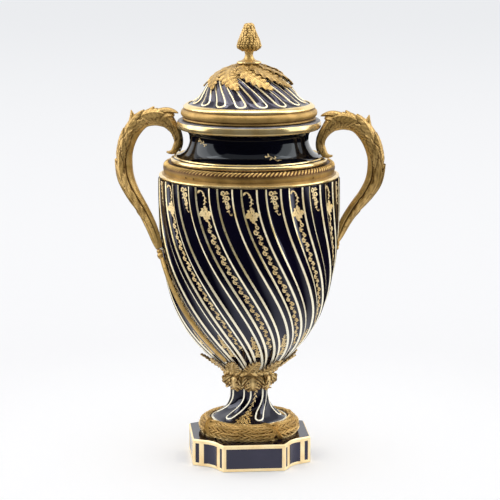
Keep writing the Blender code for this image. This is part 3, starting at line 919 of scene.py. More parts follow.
def lidSpiralTable():
    # The spiral eases out to straight towards the ends of the ribs
    radius = np.linspace(6.0, 66.0, 301)
    low, high = lid["spiralFade"]
    rate = lid["spiral"] / radius * (1.0 - eased(climb(radius, low, high - low)))
    turned = np.concatenate([[0.0], np.cumsum((rate[1:] + rate[:-1]) / 2.0 * np.diff(radius))])
    return radius, turned - turned[-1]


lidSpiral = lidSpiralTable()


def lidTwist(radius, height):
    return np.interp(radius, *lidSpiral)


lidRows = smoothRows(lid["outline"], 6)
lidSkin = TurnedSurface(lidRows, lidTwist)
lidRibWalk = float(lidSkin.walkAtRadius(lid["ribEnd"]))


def lidRelief(radius, height, azimuth):
    half = math.radians(lid["ribHalf"]) * radius
    beyond = np.maximum(lidRibWalk + half - lidSkin.walkAtRadius(radius), 0.0)
    fade = math.prod(climb(radius, *part) for part in lid["fades"])
    return fade * ribRelief(lid, lidTwist(radius, height), radius, azimuth, beyond, half)


lidSkin.relief = lidRelief


def makeLid():
    piece = turnProfile("ribbedLid", lidRows[::-1].tolist() + lid["inside"], 384, closed=False)
    radius, _, height = aroundAxis(readPoints(piece))
    walk = lidSkin.walkAtRadius(radius)
    shell = (np.abs(height - lidSkin.outline(walk)[1]) < onOutline) & (radius > lid["shellFrom"])
    carveShell(piece, lidSkin, shell, walk)
    # The lid takes the paler copy of the body glaze, painted sheen
    finishPiece(piece, [lidSheenPorcelain], 40.0, "blue_porcelain", "lid")
    ribHalf = math.radians(lid["ribHalf"])
    leg = [(ribHalf * r, float(lidSkin.walkAtRadius(r))) for r in np.linspace(*lid["lineReach"], 34)]
    endHalf = ribHalf * (lid["lineReach"][1] + 1.0)
    lines = ribLines(lid, lidSkin, leg, lidRibWalk + endHalf, -endHalf, 15)
    settle(layStrokes("lidLines", lines, lidSkin, giltLine), "blue_porcelain")


makeLid()


# Foot: a flaring stem with raised ribs that turn the other way
foot = {
    "ribs": 6, "ribHalf": 10.0, "widest": 4.3, "offset": -94.8, "ribEnd": 34.0,
    "ribLift": 0.9, "ribEdge": 0.3, "sink": 1.5, "line": (0.85, 0.32),
    # Start and run of the twist in height, and of the fading relief in radius
    "twist": -36.0, "twistRun": (72.0, -26.0), "fade": (40.0, -4.0),
    # Gilt edge: least radius and height. Carved shell: lowest and highest point.
    "edge": (38.9, 42.4), "shell": (43.48, 83.5),
    "outline": [
        (20.0, 83.6), (20.05, 76.0), (20.1, 69.0), (20.3, 64.5), (21.2, 59.5), (23.0, 55.4), (26.4, 51.8),
        (31.2, 48.3), (36.2, 45.0), (39.0, 43.5),
    ],
    "under": [
        (39.4, 43.6), (40.1, 43.2), (40.2, 42.4), (40.2, 28.3), (34.0, 28.3), (33.0, 34.0), (24.0, 43.0),
        (17.0, 50.6), (14.5, 56.0), (13.5, 67.0), (13.0, 76.0), (0.0, 76.2),
    ],
}


def footTwist(radius, height):
    return foot["twist"] * eased(climb(height, *foot["twistRun"]) ** 1.25)


footRows = smoothRows(foot["outline"], 6)
footSkin = TurnedSurface(footRows, footTwist)
footRibEnd = float(np.interp(foot["ribEnd"], footRows[:, 0], footSkin.walk)) - foot["widest"]


def footRibHalf(walk):
    # Half width of a rib: as wide as its share of the stem, then even to the rounded end
    return np.minimum(math.radians(foot["ribHalf"]) * footSkin.outline(walk)[0], foot["widest"])


def footRelief(radius, height, azimuth):
    walk = footSkin.walkAtHeight(height)
    beyond = np.maximum(walk - footRibEnd, 0.0)
    fade = climb(radius, *foot["fade"])
    return fade * ribRelief(foot, footTwist(radius, height), radius, azimuth, beyond, footRibHalf(walk))


footSkin.relief = footRelief


def makeFoot():
    rows = [(0.0, foot["outline"][0][1])] + footRows.tolist() + foot["under"]
    piece = turnProfile("flaredFoot", rows, 240, closed=False)
    radius, _, height = aroundAxis(faceCentres(piece))
    edge = (radius > foot["edge"][0]) & (height > foot["edge"][1])
    radius, _, height = aroundAxis(readPoints(piece))
    walk = footSkin.walkAtHeight(height)
    low, high = foot["shell"]
    shell = (np.abs(radius - footSkin.outline(walk)[0]) < onOutline) & (height > low) & (height < high)
    carveShell(piece, footSkin, shell, walk)
    finishPiece(piece, [porcelain, giltLine], 40.0, "blue_porcelain", "foot", choice=edge)
    leg = [(float(footRibHalf(walk)), walk) for walk in np.linspace(1.0, footRibEnd, 16)]
    lines = ribLines(foot, footSkin, leg, footRibEnd, foot["widest"], 11)
    settle(layStrokes("footLines", lines, footSkin, giltLine), "blue_porcelain")


makeFoot()


# Plinth: a block with hollow corners, every side a dark panel in a gilt frame
plinth = {
    "half": 62.0, "face": 32.0, "return": 5.0, "cut": 9.0, "steps": 12, "turn": 5.0,
    "height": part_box("plinth")[1][2] / mm, "slope": 1.2, "soften": 0.4,
    "frame": 2.7, "narrowFrame": 2.835, "groove": 0.2, "sink": 0.3,
}


def plinthCorner():
    # One corner, from the end of one face round the hollow to the start of the next
    half, face = plinth["half"], plinth["face"]
    start = np.array((half - plinth["cut"], face + plinth["return"]))
    centre = np.array((half - 1.0, half - 1.0))
    first, last = (math.atan2(*(spot - centre)[::-1]) for spot in (start, start[::-1]))
    sweep = (last - first + math.pi) % (2.0 * math.pi) - math.pi
    turns = np.degrees(np.linspace(first, first + sweep, plinth["steps"] + 1))
    hollow = centre + polar(np.linalg.norm(start - centre), turns, 0.0)[:, :2]
    return [np.array((half, face)), *hollow, np.array((face, half))]


def makePlinth():
    corner = plinthCorner()
    outline, kinds = [], []
    for quarter in range(4):
        turn = math.radians(90.0 * quarter + plinth["turn"])
        spin = np.array(((math.cos(turn), -math.sin(turn)), (math.sin(turn), math.cos(turn))))
        outline += [spin @ spot for spot in corner]
        kinds += ["return"] + ["hollow"] * plinth["steps"] + ["return", "face"]
    deselectAll()
    bpy.ops.mesh.primitive_circle_add(vertices=len(outline), radius=0.06, fill_type="NGON")
    piece = bpy.context.object
    piece.name = piece.data.name = "panelledPlinth"
    writePoints(piece, np.array([(x, y, 0.0) for x, y in outline]))
    selectFaces(piece, [True])
    slope = plinth["slope"] * mm
    rise = (0.0, 0.0, plinth["height"] * mm - slope)
    bpy.ops.mesh.extrude_region_move(TRANSFORM_OT_translate={"value": rise})
    bpy.ops.mesh.inset(thickness=slope, depth=slope)
    bpy.ops.mesh.select_all(action="SELECT")
    bpy.ops.mesh.normals_make_consistent(inside=False)
    bpy.ops.object.mode_set(mode="OBJECT")
    # The panels take the paler copy of the body glaze, painted reflection
    setFinishes(piece, [porcelain, giltEdge, panelSheenPorcelain])
    ends = np.array([(spot + after) / 2.0 for spot, after in zip(outline, outline[1:] + outline[:1])])
    panels = {}
    for face, spot in zip(piece.data.polygons, faceCentres(piece)):
        if abs(face.normal.z) < 0.5:
            side = int(np.argmin(np.linalg.norm(ends - spot[:2], axis=1)))
            face.material_index = 1
            key = (kinds[side], side // len(corner) if kinds[side] == "hollow" else side)
            panels.setdefault(key, []).append(spot)
        elif 0.5 < face.normal.z < 0.95:
            face.material_index = 1
    # Each panel is inset from its frame and then sunk a little
    for (kind, _), wanted in panels.items():
        away = np.linalg.norm(faceCentres(piece)[:, None] - np.array(wanted)[None], axis=2)
        selectFaces(piece, np.min(away, axis=1) < 0.01)
        width = plinth["narrowFrame"] if kind == "return" else plinth["frame"]
        bpy.ops.mesh.inset(thickness=width * mm, depth=0.0)
        bpy.ops.mesh.inset(thickness=plinth["groove"] * mm, depth=-plinth["sink"] * mm)
        bpy.ops.object.mode_set(mode="OBJECT")
        for face in piece.data.polygons:
            if face.select:
                face.material_index = 2
    makeActive(piece)
    soften = piece.modifiers.new("soften", "BEVEL")
    soften.width = plinth["soften"] * mm
    soften.segments = 2
    soften.limit_method = "ANGLE"
    soften.angle_limit = math.radians(50.0)
    bpy.ops.object.modifier_apply(modifier="soften")
    smoothShade(piece, 30.0)
    settle(piece, "blue_porcelain", "plinth")


makePlinth()


# Laurel band: a half round of long leaves that run from one ribbon crossing to the next
laurel = {
    "crossings": (-148.0, -58.0, 32.0, 122.0), "long": 12.0, "half": 1.4, "lift": 1.4,
    # Rows of leaves round the section, and their starts along it and away from a crossing
    "rows": 7, "rowStart": 2.2, "rowPitch": 3.25, "leafStart": 3.4, "leafPitch": 7.8, "reach": 47.0,
    "slants": (-0.24, 0.30),
    # Ribs of a ribbon across it; its sideways run, start and length, and the half width and height of a rib
    "ribbon": (-2.1, 0.0, 2.1), "ribbonRun": (16.0, 1.6, 21.4), "ribbonRib": (0.8, 2.3),
    "outline": [
        (41.0, 43.2), (43.0, 43.6), (46.6, 42.6), (50.0, 40.6), (51.6, 37.8), (52.0, 34.8), (51.8, 32.0),
        (50.4, 30.0), (48.4, 29.0), (47.4, 28.3)],
    "under": (41.0, 28.3),
}


def leafStrokes(azimuth, along, slant):
    # A pointed leaf and its midrib on a turned surface
    t = np.linspace(0.0, 1.0, 8)
    reach = (t - 0.5) * laurel["long"]
    full = np.sin(np.pi * (0.04 + 0.93 * t ** 0.8)) ** 0.8
    high = laurel["lift"] * (0.3 + 0.7 * full)
    place = (azimuth, 0.0), reach * math.cos(slant), along + reach * math.sin(slant)
    return stroke(*place, laurel["half"] * full, high), stroke(*place, 0.34, high + 0.28)


def makeLaurel():
    rows = smoothRows(laurel["outline"], 4)
    core = turnProfile("laurelCore", rows.tolist() + [laurel["under"]], 160)
    # The core under the leaves is painted wholly in shade
    finishPiece(core, [matteBronze], 40.0, "gilt_bronze", "laurel_band", hollow=1.0)
    leaves, veins, ribbons = [], [], []
    t = np.linspace(0.0, 1.0, 12)
    for cross in laurel["crossings"]:
        for way in (-1.0, 1.0):
            for row in range(laurel["rows"]):
                odd = row % 2
                along = laurel["rowStart"] + laurel["rowPitch"] * row
                first = laurel["leafStart"] + odd * laurel["leafPitch"] / 2.0
                for step, reach in enumerate(np.arange(first, laurel["reach"], laurel["leafPitch"])):
                    stray = 0.12 * math.sin(3.1 * row + 5.3 * step)
                    slant = math.pi * (way < 0.0) + way * laurel["slants"][odd] + stray
                    leaf, vein = leafStrokes(cross + way * reach, along, slant)
                    leaves.append(leaf)
                    veins.append(vein)
        # Two ribbed ribbons cross over the band, one lying over the other
        sideways, first, long = laurel["ribbonRun"]
        half, high = laurel["ribbonRib"]
        for way in (-1.0, 1.0):
            for across in laurel["ribbon"]:
                ribbons.append(stroke(
                    (cross, 0.0), across + way * sideways * (t - 0.5), first + long * t,
                    half, high + 0.3 * way - 0.2 * abs(across)))
    skin = TurnedSurface(rows)
    settle(layStrokes("laurelLeaves", leaves, skin, matteBronze), "gilt_bronze")
    # The midribs take the paler bronze, a painted highlight
    settle(layStrokes("laurelVeins", veins, skin, paintedLightBronze), "gilt_bronze")
    settle(layStrokes("laurelRibbons", ribbons, skin, bronze), "gilt_bronze")


makeLaurel()


# Knop: drooping leaves under the body, broad ones over slim ones. Each midrib is rows of radius and height.
knop = {
    "leaves": 7, "first": -80.5, "foot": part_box("foot")[1][2] / mm + 0.3,
    "outline": [
        (15.0, 91.0), (19.6, 90.6), (21.6, 88.8), (22.3, 86.0), (22.2, 83.4), (21.7, 80.6), (21.3, 78.8)],
    "neck": (20.9, 78.8),
    "broad": {
        "lobes": 6, "perLobe": 5, "across": 8, "notch": 0.26, "lean": 0.85, "carve": 1.2, "rib": 0.9,
        "widths": [(0, 8.0), (0.2, 12.4), (0.5, 12.6), (0.75, 9.6), (0.92, 5.6), (1, 0.3)],
        "wrap": 21.0, "curl": 1.0},
    "broadMidrib": [
        (15.0, 91.6), (20.0, 91.4), (23.2, 89.4), (24.4, 86.2), (24.0, 82.8), (22.8, 79.8), (22.5, 77.6),
        (24.2, 76.2)],
    "slim": {
        "lobes": 5, "perLobe": 5, "across": 8, "notch": 0.26, "lean": 0.85, "carve": 1.2, "rib": 0.9,
        "widths": [(0, 5.0), (0.3, 8.6), (0.6, 7.8), (0.85, 4.4), (1, 0.3)],
        "wrap": 21.0, "curl": 0.8},
    "slimMidrib": [(16.4, 91.4), (20.0, 91.0), (22.6, 89.0), (23.6, 85.6), (23.2, 81.6), (24.2, 78.6)],
}


def makeKnop():
    rows = [(0.0, knop["outline"][0][1])] + smoothRows(knop["outline"], 4).tolist()
    rows += [knop["neck"], (knop["neck"][0], knop["foot"]), (0.0, knop["foot"])]
    core = turnProfile("knopCore", rows, 96, closed=False)
    # The core under the leaves is painted partly in shade
    finishPiece(core, [bronze], 50.0, "gilt_bronze", "leaf_knop", hollow=0.4)
    leaves = []
    for i in range(knop["leaves"]):
        for kind, turn in (("broad", i), ("slim", i + 0.5)):
            azimuth = knop["first"] + 360.0 * turn / knop["leaves"]
            leaves.append(leafOnRound(*zip(*knop[kind + "Midrib"]), azimuth, knop[kind]))
    # The leaves take the paler bronze, painted light under the body
    settle(layLeaves("knopLeaves", leaves, paintedLightBronze), "gilt_bronze")


makeKnop()


# Calyx: a cup of leaning leaves that holds the body
calyx = {
    "leaves": 12, "first": -78.0, "lean": 17.0, "start": 3.0, "long": 35.0, "stand": 1.7, "twists": 26,
    "top": 119.5, "roll": [(20.6, 92.6), (24.6, 92.4), (28.0, 94.0), (29.4, 96.6), (29.2, 98.8)],
    "rollUnder": [(28.2, 98.4), (22.0, 93.6)],
    "wreath": [
        (21.0, 102.6), (25.4, 102.4), (28.4, 100.6), (29.6, 97.8), (28.8, 95.0), (26.0, 93.0), (22.4, 92.4)],
    # Each leaf of the wreath and its midrib: reach, half width and height
    "twistSizes": [(7.4, 2.5, 1.1), (7.0, 0.5, 1.6)],
    "leaf": {
        "lobes": 7, "perLobe": 5, "across": 8, "notch": 0.46, "lean": 0.8, "carve": 1.7, "rib": 1.0,
        "widths": [(0, 5.0), (0.3, 7.4), (0.55, 8.0), (0.78, 6.2), (0.92, 3.2), (1, 0.3)],
        "wrap": 55.0, "cup": 0.02, "curl": 1.3, "curlPower": 5.0},
}


def makeCalyx():
    core = turnProfile("calyxRoll", smoothRows(calyx["roll"], 4).tolist() + calyx["rollUnder"], 96)
    # The roll under the leaves is painted partly in shade
    finishPiece(core, [bronze], 50.0, "gilt_bronze", hollow=0.6)
    # A wreath of leaves twisted round the foot of the cup, meeting at front and back
    skin = TurnedSurface(smoothRows(calyx["wreath"], 4))
    t = np.linspace(0.0, 1.0, 9)
    twists = []
    for i in range(calyx["twists"]):
        turn = 360.0 * (i + 0.5) / calyx["twists"]
        way = math.copysign(1.0, math.sin(math.radians(turn)))
        stout = 1.0 + 0.2 * math.sin(4.1 * i)
        for reach, half, high in calyx["twistSizes"]:
            twists.append(stroke(
                (turn - 90.0, 0.0), way * reach * (2.0 * t - 1.0), skin.long[-1] * (0.06 + 0.88 * t),
                half * stout * np.sin(np.pi * (0.08 + 0.84 * t)),
                high * stout * (0.4 + 0.6 * np.sin(np.pi * t))))
    # The wreath takes the paler bronze, painted light under the body
    settle(layStrokes("calyxWreath", twists, skin, paintedLightBronze), "gilt_bronze")
    under = TurnedSurface(bodyRows[bodyRows[:, 1] < calyx["top"]])
    share = np.linspace(0.0, 1.0, 10)
    walk = under.walk[-1] - calyx["start"] - share * calyx["long"]
    leaves = []
    for i in range(calyx["leaves"]):
        # Every second leaf stands over its neighbours
        stand = calyx["stand"] + 1.2 * share + 0.7 * (i % 2)
        radius, _, height = under.at(walk, 0.0 * walk, stand).T
        azimuth = calyx["first"] + 360.0 * i / calyx["leaves"] + calyx["lean"] * (share ** 1.1 - 1.0)
        leaves.append(leafOnRound(radius, height, azimuth, calyx["leaf"], flip=-1.0))
    # The calyx leaves take the paler bronze, painted light under the body
    settle(layLeaves("calyxLeaves", leaves, paintedLightBronze), "gilt_bronze", "leaf_calyx")


makeCalyx()


# Crown of the lid: leaves that swirl out from under the finial
crown = {
    "tips": (-142.0, -103.0, -58.0, -20.0, 20.0, 60.0, 100.0, 140.0, 179.0), "swirl": 58.0, "start": 12.0,
    # How strongly the leaves show their painted shade
    "reach": 44.4, "hollow": 0.6,
    "leaf": {
        "lobes": 8, "perLobe": 5, "across": 7, "notch": 0.40, "lean": 0.60, "carve": 1.3, "rib": 0.6,
        "widths": [(0, 5.6), (0.2, 9.6), (0.45, 11.0), (0.65, 9.0), (0.82, 6.0), (0.94, 3.0), (1, 0.3)],
        "wrap": 60.0, "curl": 0.5, "roll": 0.10},
    # The cap under the leaves: radius and how far it stands over the lid
    "cap": [(33.0, 0.6), (30.0, 1.2), (26.0, 1.7), (20.0, 2.4), (14.0, 3.3), (8.0, 3.9)], "capUnder": 0.3,
}


def makeCrown():
    share = np.linspace(0.0, 1.0, 14)
    radius = crown["start"] + (crown["reach"] - crown["start"]) * share
    stand = 1.9 + 2.0 * (1.0 - share) ** 3 + 0.8 * share ** 6
    walk = lidSkin.walkAtRadius(radius)
    nr, nz = lidSkin.facing(walk)
    height = lidSkin.outline(walk)[1]
    leaves = []
    for tip in crown["tips"]:
        azimuth = tip - crown["swirl"] * (1.0 - share ** 1.35)
        grid, hollow = leafOnRound(radius + nr * stand, height + nz * stand, azimuth, crown["leaf"])
        leaves.append((grid, crown["hollow"] * hollow))
    settle(layLeaves("crownLeaves", leaves, bronze), "gilt_bronze", "lid_leaves")
    radius, lift = np.array(crown["cap"]).T
    height = lidSkin.outline(lidSkin.walkAtRadius(radius))[1]
    rows = list(zip(radius, height + lift)) + list(zip(radius, height + crown["capUnder"]))[::-1]
    # The cap under the leaves is painted partly in shade
    finishPiece(turnProfile("crownCore", rows, 96), [bronze], 50.0, "gilt_bronze", hollow=0.55)


makeCrown()


# Finial: a pine cone on a turned stem
cone = {
    "outline": [
        (5.0, 430.4), (8.2, 431.6), (11.2, 433.4), (12.2, 435.4), (12.1, 437.6), (11.3, 440.6),
        (9.9, 443.8), (8.4, 447.4), (7.0, 451.0), (5.8, 454.4), (4.7, 457.2), (3.4, 458.7), (0.0, 458.9)],
    "stem": [
        (0.0, 417.8), (6.0, 417.8), (12.0, 417.8), (12.7, 418.3), (12.9, 419.0), (12.6, 419.7),
        (11.6, 420.1), (10.2, 420.4), (8.6, 420.9), (7.0, 421.6), (5.6, 422.8), (4.8, 424.2), (4.25, 425.8),
        (4.1, 427.2), (4.3, 428.4), (4.9, 429.6)],
    "bright": (417.9, 420.2), "darkFrom": 430.5, "rowPitch": 2.5, "scaleWidth": 3.3, "scaleLong": 1.85,
}


def makeFinial():
    outline = smoothRows(cone["outline"], 4)
    core = turnProfile("finialStem", cone["stem"] + (outline * (0.95, 1.0)).tolist(), 72, closed=False)
    height = faceCentres(core)[:, 2]
    bright = (height > cone["bright"][0]) & (height < cone["bright"][1])
    # Painted shade on the core where the scales cover it
    dark = np.clip(readPoints(core)[:, 2] - cone["darkFrom"], 0.0, 0.7)
    finishPiece(core, [bronze, burnished], 45.0, "gilt_bronze", "finial", choice=bright, hollow=dark)
    # One scale is modelled once, then copied in staggered rows
    deselectAll()
    bpy.ops.mesh.primitive_uv_sphere_add(segments=8, ring_count=5, radius=1.0)
    scale = bpy.context.object
    unit = readPoints(scale) * mm
    unitFaces = [tuple(face.vertices) for face in scale.data.polygons]
    bpy.data.objects.remove(scale)
    unit[:, 0] *= 1.0 - 0.35 * np.clip(unit[:, 1], 0.0, 1.0)
    x, y, z = unit.T
    skin = TurnedSurface(outline[::-1])
    points, faces, hollows = [], [], []
    for row in range(1, int(skin.walk[-1] / cone["rowPitch"])):
        walk = row * cone["rowPitch"]
        radius = float(skin.outline(walk)[0])
        around = max(5, int(round(2.0 * math.pi * radius / cone["scaleWidth"])))
        half = math.pi * radius / around
        for k in range(around):
            stray, other = math.sin(7.3 * row + 4.7 * k), math.cos(5.9 * row + 3.1 * k)
            azimuth = 360.0 * (k + 0.5 * (row % 2) + 0.16 * stray) / around
            azimuth = azimuth + np.degrees(x * half * (1.04 + 0.14 * other) / max(radius, 1.0))
            down = np.clip(walk + 0.2 + 0.35 * other - y * cone["scaleLong"], 0.0, skin.walk[-1])
            faces += [tuple(v + len(points) * len(unit) for v in face) for face in unitFaces]
            points.append(skin.at(down, azimuth, z * (0.85 + 0.2 * stray) - 0.2))
            # Painted shade where each scale meets the cone
            hollows.append(np.clip(0.75 - z * 1.3, 0.0, 0.85))
    points, hollows = np.concatenate(points), np.concatenate(hollows)
    settle(meshPiece("coneScales", points, faces, hollows, bronze, angle=50.0), "gilt_bronze")


makeFinial()


# Handles: a leafy scroll over the shoulder, a grooved shaft, and a strap down one flute
handle = {
    "azimuth": -10.0,
    # Radius, height, azimuth, half width in the plane of the scroll, half thickness
    "stations": [
        (87.4, 324.1, -10.0, 0.9, 1.5), (84.6, 323.5, -10.0, 1.7, 2.6), (81.2, 324.2, -10.0, 2.8, 3.4),
        (78.4, 326.6, -10.0, 3.8, 4.0), (76.4, 330.6, -10.0, 4.2, 4.4), (75.2, 335.6, -10.0, 4.2, 4.6),
        (76.6, 342.8, -10.0, 4.6, 5.0), (81.4, 350.4, -10.0, 5.6, 5.4), (88.8, 357.4, -10.0, 8.0, 6.0),
        (100.4, 360.0, -10.0, 8.8, 6.4), (113.6, 356.2, -10.0, 8.6, 6.6), (125.2, 343.0, -10.0, 8.7, 6.6),
        (131.3, 326.0, -9.4, 8.4, 6.6), (131.5, 311.0, -8.0, 8.3, 6.6), (128.6, 297.0, -5.6, 8.2, 6.5),
        (121.0, 282.4, -2.0, 7.2, 6.4), (110.6, 266.6, 3.0, 6.4, 6.2), (102.8, 250.6, 8.4, 6.0, 5.9),
        (98.2, 236.0, 13.0, 4.9, 5.1), (96.2, 228.6, 14.8, 3.4, 3.7),
    ],
    "steps": 20, "sides": 96,
    # Beads at the head of the strap as height, half width and half thickness, and the ends of its plain run
    "strapBeads": [
        (226.4, 3.4, 2.4), (225.2, 4.8, 3.0), (223.4, 3.4, 2.2), (221.6, 5.2, 3.1), (219.6, 4.6, 2.7),
        (218.4, 3.4, 2.0)],
    "strapRun": [(217.4, 4.4, 2.0), (112.6, 2.4, 1.5)],
    # Free tips: radius, height, half width, half thickness
    "spurs": [
        [(101.0, 360.8, 6.2, 6.0), (96.0, 364.0, 5.5, 6.0), (91.0, 366.2, 4.7, 5.9), (85.8, 367.2, 3.9, 5.6),
         (81.0, 366.8, 2.9, 4.8), (77.4, 365.9, 1.7, 3.0), (74.9, 364.9, 0.5, 0.9)],
        [(93.0, 357.4, 5.0, 6.8), (88.4, 360.8, 5.2, 7.5), (84.2, 362.4, 4.4, 7.2), (80.9, 362.6, 2.8, 5.4),
         (79.0, 362.4, 1.0, 2.2)],
        [(117.0, 354.6, 5.2, 6.2), (111.4, 360.6, 5.0, 5.9), (106.4, 365.4, 3.7, 4.8),
         (102.8, 368.9, 2.2, 3.2), (100.6, 371.2, 0.8, 1.2)],
        [(120.8, 344.0, 6.4, 5.8), (122.6, 350.6, 6.2, 5.0), (123.0, 355.6, 5.4, 4.2),
         (123.7, 360.2, 3.6, 3.0), (124.5, 364.2, 1.9, 1.8), (125.2, 367.2, 0.5, 0.6)],
    ],
    # Leaves carved on both faces, over one another: base and tip station, base and tip angle from the
    # outer side, and half width
    "leaves": [
        (15.4, 12.6, 16.0, 14.0, 4.6), (12.7, 10.7, 84.0, 92.0, 4.2), (11.0, 9.4, 92.0, 104.0, 4.4),
        (9.7, 8.0, 96.0, 110.0, 4.2), (8.4, 6.6, 104.0, 112.0, 3.8), (7.1, 5.0, 96.0, 110.0, 3.4),
        (8.6, 6.9, 56.0, 64.0, 4.6), (7.2, 5.2, 50.0, 64.0, 3.6), (5.6, 3.4, 70.0, 84.0, 3.2),
        (9.9, 8.1, 60.0, 48.0, 6.6), (11.3, 9.6, 66.0, 24.0, 6.6), (13.0, 10.9, 52.0, 28.0, 5.8),
        (12.8, 11.4, 88.0, 62.0, 4.2), (16.6, 12.1, 52.0, 64.0, 6.2),
    ],
    "leafLobes": 4, "leafHeight": 1.9,
    # Grooves of the shaft: angle from the outer side, half width, depth, how dark the painted shade in it is,
    # and the stations over which each begins; then the stations over which both end
    "grooves": [(106.0, 6.0, 1.4, 1.0, (10.6, 11.8)), (52.0, 8.0, 0.7, 0.6, (15.4, 16.4))],
    "grooveEnd": (17.4, 18.6),
    # Casting pits, sunk and darkened with painted shade: station and angle from the outer side
    "pits": [
        (7.3, 104.0), (7.9, 126.0), (8.7, 98.0), (9.6, 132.0), (12.2, 74.0), (13.4, 96.0), (14.6, 60.0),
        (17.2, 88.0)],
    # The toothed leaf down the outer side of the scroll: its two end stations, and its shape
    "lipReach": (7.9, 3.2),
    "lip": {
        "lobes": 7, "perLobe": 5, "across": 6, "notch": 0.45, "lean": 0.2, "carve": 1.1, "rib": 0.6,
        "widths": [(0, 3.4), (0.3, 5.6), (0.7, 4.8), (0.9, 2.6), (1, 0.2)], "wrap": 5.0, "curl": 0.7},
}


class SweptBar:
    # A bar along rows of radius, height, azimuth, half width and half thickness
    def __init__(self, rows, turn, steps):
        rows = smoothRows(rows, steps)
        self.count = len(rows)
        self.share = np.arange(self.count) / steps
        self.spot = polar(rows[:, 0], rows[:, 2] + turn, rows[:, 1])
        self.wide, self.thick = rows[:, 3], rows[:, 4]
        self.walk = walkAlong(self.spot)
        along = unitRows(np.gradient(self.spot, axis=0))
        around = polar(1.0, rows[:, 2] + turn + 90.0, 0.0)
        self.across = unitRows(around - along * np.sum(around * along, 1)[:, None])
        self.outward = np.cross(along, self.across)

    def pick(self, share, rows):
        if rows.ndim == 1:
            return np.interp(share, self.share, rows)
        return np.stack([np.interp(share, self.share, rows[:, k]) for k in range(3)], -1)

    def at(self, share, angle, lift):
        # A point at a station share and an angle round the section; angle 0 is the outer side of the scroll
        share, angle, lift = np.broadcast_arrays(share, angle, lift)
        turn = np.radians(angle)
        wide, thick = self.pick(share, self.wide), self.pick(share, self.thick)
        facing = unitRows(np.stack([np.cos(turn) / wide, np.sin(turn) / thick], -1))
        out = wide * np.cos(turn) + lift * facing[..., 0]
        over = thick * np.sin(turn) + lift * facing[..., 1]
        return (self.pick(share, self.spot) + self.pick(share, self.outward) * out[..., None]
                + self.pick(share, self.across) * over[..., None])

    def flatten(self, share, angle):
        # Length along the bar and distance round it from the outer side, the same on both faces
        girth = self.pick(share, (self.wide + self.thick) / 2.0)
        return self.pick(share, self.walk), np.radians(np.abs(angle)) * girth

    def leaf(self, share, angle, lift, shape):
        # A leaf whose midrib follows rows of station share, angle and lift on the bar
        spots = self.at(share, angle, lift)
        return leafSheet(spots, self.at(share, angle, lift + 1.0) - spots, shape)


def carvedLeaf(across, along, half, long):
    # Cover, height, painted shade in the creases and painted shadow at the edge of a serrated leaf, from
    # distances across and along it
    u, v = along / long, np.abs(across) / half
    lobe = (u * handle["leafLobes"] + 0.5 * v) % 1.0
    outline = np.interp(u, (0.0, 0.15, 0.5, 0.8, 1.0), (0.45, 0.82, 1.0, 0.72, 0.0))
    outline = outline * (1.0 - 0.30 * (1.0 - lobe) ** 1.4)
    inside = (u > 0.0) & (u < 1.0) & (v < outline)
    swell = 1.0 - (v / np.maximum(outline, 0.05)) ** 2
    vein = 0.5 + 0.5 * np.cos(2.0 * math.pi * (u * handle["leafLobes"] * 1.5 - 1.2 * v))
    rise = np.clip(u / 0.12, 0.0, 1.0) * (0.35 + 0.65 * u)
    midrib = np.exp(-((across / 0.55) ** 2))
    height = handle["leafHeight"] * rise * (0.62 + 0.38 * swell)
    height = height + 0.40 * midrib + 0.26 * vein * (1.0 - midrib)
    crease = 0.34 * (1.0 - vein) * (1.0 - midrib) + 0.35 * np.exp(-(((np.abs(across) - 1.1) / 0.4) ** 2))
    shadow = 0.9 * np.exp(-(((v - outline) * half / 0.9) ** 2)) * (u > 0.04) * (u < 1.04)
    return inside, height, crease, shadow


def shaftRelief(bar, share, angle):
    # Grooves of the shaft, leaves that overlap on the scroll, and casting pits, with painted shade in the
    # hollow attribute for each
    lift = hollow = 0.0 * share
    for middle, half, depth, dark, begin in handle["grooves"]:
        fade = np.interp(share, begin, (0.0, 1.0)) * np.interp(share, handle["grooveEnd"], (1.0, 0.0))
        groove = fade * np.exp(-((np.abs(angle) - middle) / half) ** 2)
        lift, hollow = lift - depth * groove, np.minimum(hollow + dark * groove, 1.0)
    walk, around = bar.flatten(share, angle)
    for first, last, angleFirst, angleLast, half in handle["leaves"]:
        start = np.array(bar.flatten(first, angleFirst))
        run = np.array(bar.flatten(last, angleLast)) - start
        long = float(np.linalg.norm(run))
        run = run / long
        along = (walk - start[0]) * run[0] + (around - start[1]) * run[1]
        across = (around - start[1]) * run[0] - (walk - start[0]) * run[1]
        inside, height, crease, shadow = carvedLeaf(across, along, half, long)
        covers = inside & (height > lift)
        hollow = np.where(covers, crease, np.where(inside, hollow, np.maximum(hollow, shadow)))
        lift = np.where(covers, height, lift)
    for station, spin in handle["pits"]:
        middle = bar.flatten(station, spin)
        pit = np.exp(-((walk - middle[0]) ** 2 + (around - middle[1]) ** 2) / 0.8)
        lift, hollow = lift - 0.6 * pit, np.maximum(hollow, pit)
    return lift, hollow


def plainRelief(bar, share, angle):
    return 0.0 * share, 0.0 * share


def spurRelief(bar, share, angle):
    # Long veins that run to the tip, sunk and darkened with painted shade
    vein = 0.5 + 0.5 * np.cos(np.radians(angle * 6.0))
    fade = np.clip(share, 0.0, 1.0) * np.clip((share[-1, 0] - share) / 1.5, 0.0, 1.0)
    return -0.5 * vein * fade, 0.55 * vein * fade


